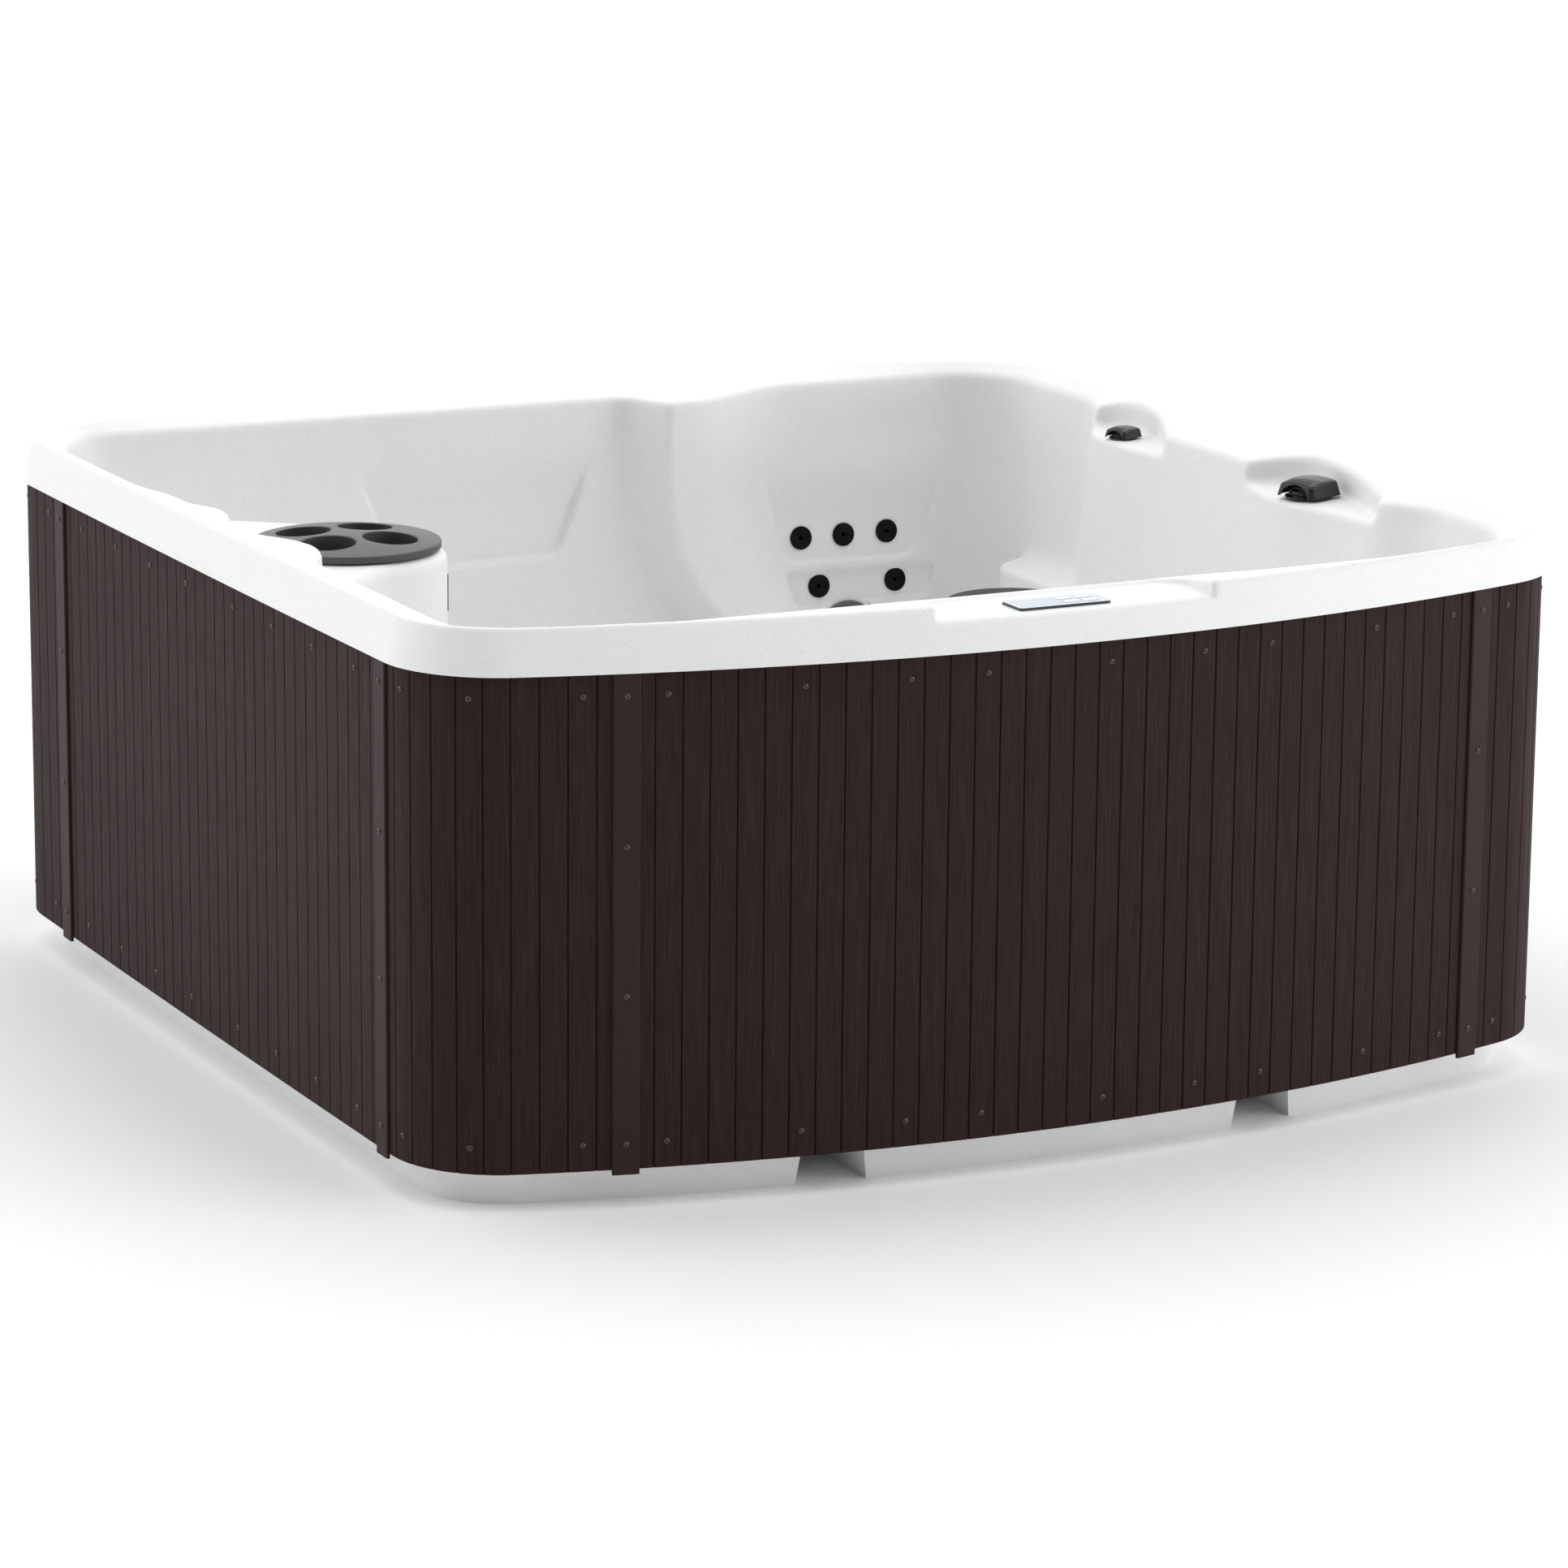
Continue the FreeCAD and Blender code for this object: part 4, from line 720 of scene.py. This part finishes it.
def build_shell():
    """The shell's upper skin and outer band, without the faces that the cabinet hides."""
    points, faces = skin_mesh(shell, SKIN_LOW, SKIN_HIGH, GRID)
    edge = footprint(points[:, 0], points[:, 1])
    below_band = (points[:, 2] < BAND_Z) & (edge > -OUTER_WALL)
    hidden = below_band | (points[:, 2] < FLOOR_Z - 0.01)
    kept = [f for f in faces if not hidden[list(f)].all()]
    used = sorted({i for f in kept for i in f})
    place = {old: new for new, old in enumerate(used)}
    kept = [tuple(place[i] for i in f) for f in kept]
    points = points[used]
    band_foot = (edge[used] > -OUTER_WALL) & (points[:, 2] < BAND_Z)
    points[band_foot, 2] = BAND_Z
    made = link_mesh("tub_shell_skin", points, kept)
    smooth_by_field(made, gradient(shell, points))
    return made


def smooth_by_field(made, slope):
    """Shades a mesh by its field's slope at each vertex."""
    normals = slope / np.maximum(np.linalg.norm(slope, axis=1), 1e-9)[:, None]
    for face in made.data.polygons:
        face.use_smooth = True
    made.data.normals_split_custom_set_from_vertices([tuple(n) for n in normals])


# ---- spouts -----------------------------------------------------------------------------------------
# Both spouts share these forms, in metres, with +X along the nozzle.
# Each spout has its place on the shelf and its size relative to the front one.
SPOUTS = {"rear": ((0.892, 0.355), 0.62), "front": ((0.893, -0.272), 1.0)}
SPOUT_AIM = math.radians(200.0)
SPOUT_GRID = 0.0013
SPOUT_LOW, SPOUT_HIGH = (-0.050, -0.048, -0.003), (0.048, 0.048, 0.042)
HOOD_FOOT = 0.0058


def bonnet(x, y, z):
    """Hood with drafted sides, a crown that falls to the front, and an arch over the nozzle."""
    def form(inset):
        draft = 0.30 * (z - HOOD_FOOT)
        side = rounded_rect(x, y, -0.044, 0.041, -0.041, 0.041, 0.014) + draft + inset
        fall = 0.16 * np.maximum(x - 0.004, 0.0) + 0.10 * np.maximum(-x - 0.020, 0.0)
        ribbed = ramp_up(x, 0.006, 0.020) * ramp_up(-np.abs(y), -0.030, -0.018)
        brow = 0.0011 * np.cos(x * 620.0) * ribbed
        crown = z - 0.0345 + fall + 3.2 * y**2 - brow + inset
        return round_max(side, crown, 0.004)
    arch = (np.hypot(y / 0.029, (z - 0.003) / 0.0225) - 1.0) * 0.022
    body = soft_max(form(0.0), -form(0.0032), 0.001)
    body = np.maximum(body, HOOD_FOOT - z)
    return soft_max(body, -np.maximum(arch, 0.010 - x), 0.0015)


def drum(x, y, z):
    """Flange on the shelf and the round nozzle drum under the hood, with a wide flat mouth."""
    r = np.hypot(x, y)
    flange = round_max(r - 0.0395, np.abs(z - 0.0026) - 0.0024, 0.0012)
    body = round_max(r - 0.0330, np.abs(z - 0.0135) - 0.0105, 0.007)
    groove = np.maximum(np.hypot(r - 0.0335, z - 0.0125) - 0.0016, -x)
    mouth = round_max(np.abs(y) - 0.013, np.abs(z - 0.0170) - 0.0022, 0.001)
    whole = soft_min(flange, body, 0.003)
    return np.maximum(np.maximum(whole, -groove), -np.maximum(mouth, 0.020 - x))


def build_spout_part(name, field, place):
    (at_x, at_y), size = SPOUTS[place]
    points, faces = skin_mesh(field, SPOUT_LOW, SPOUT_HIGH, SPOUT_GRID)
    slope = gradient(field, points, 0.0002)
    turn = np.array(Matrix.Rotation(SPOUT_AIM, 3, "Z"))
    placed = points @ turn.T * size + np.array([at_x, at_y, LEDGE_Z])
    made = link_mesh(name, placed, faces)
    smooth_by_field(made, slope @ turn.T)
    return made


def build_spouts(materials):
    """Both spouts: hoods that turn, over nozzles fixed to the tub."""
    for place in SPOUTS:
        hood = build_spout_part("hood_" + place, bonnet, place)
        hood.data.materials.append(materials["satin_black"])
        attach(hood, "spout_hood_" + place)
        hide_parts("spout_hood_" + place)
        nozzle = build_spout_part("nozzle_" + place, drum, place)
        nozzle.data.materials.append(materials["gloss_black"])
        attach(nozzle, "tub")
    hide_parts("spout_bases")


# ---- build ------------------------------------------------------------------------------------------
def dress_cad_parts(materials):
    """Gives each CAD part the material of its slot, and the well's lid the black of the jets."""
    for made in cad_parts.values():
        for slot in made.material_slots:
            key = slot.material.name.split(".")[0] if slot.material else ""
            if key in materials:
                slot.material = materials[key]
    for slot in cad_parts["well_lid"].material_slots:
        slot.material = materials["black_jets"]


def main():
    materials = make_materials()
    add_camera()
    add_floor()
    add_studio()
    dress_cad_parts(materials)
    tub = build_shell()
    tub.data.materials.append(materials["white_shell"])
    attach(tub, "tub")
    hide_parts("tub_shell")
    build_spouts(materials)


main()
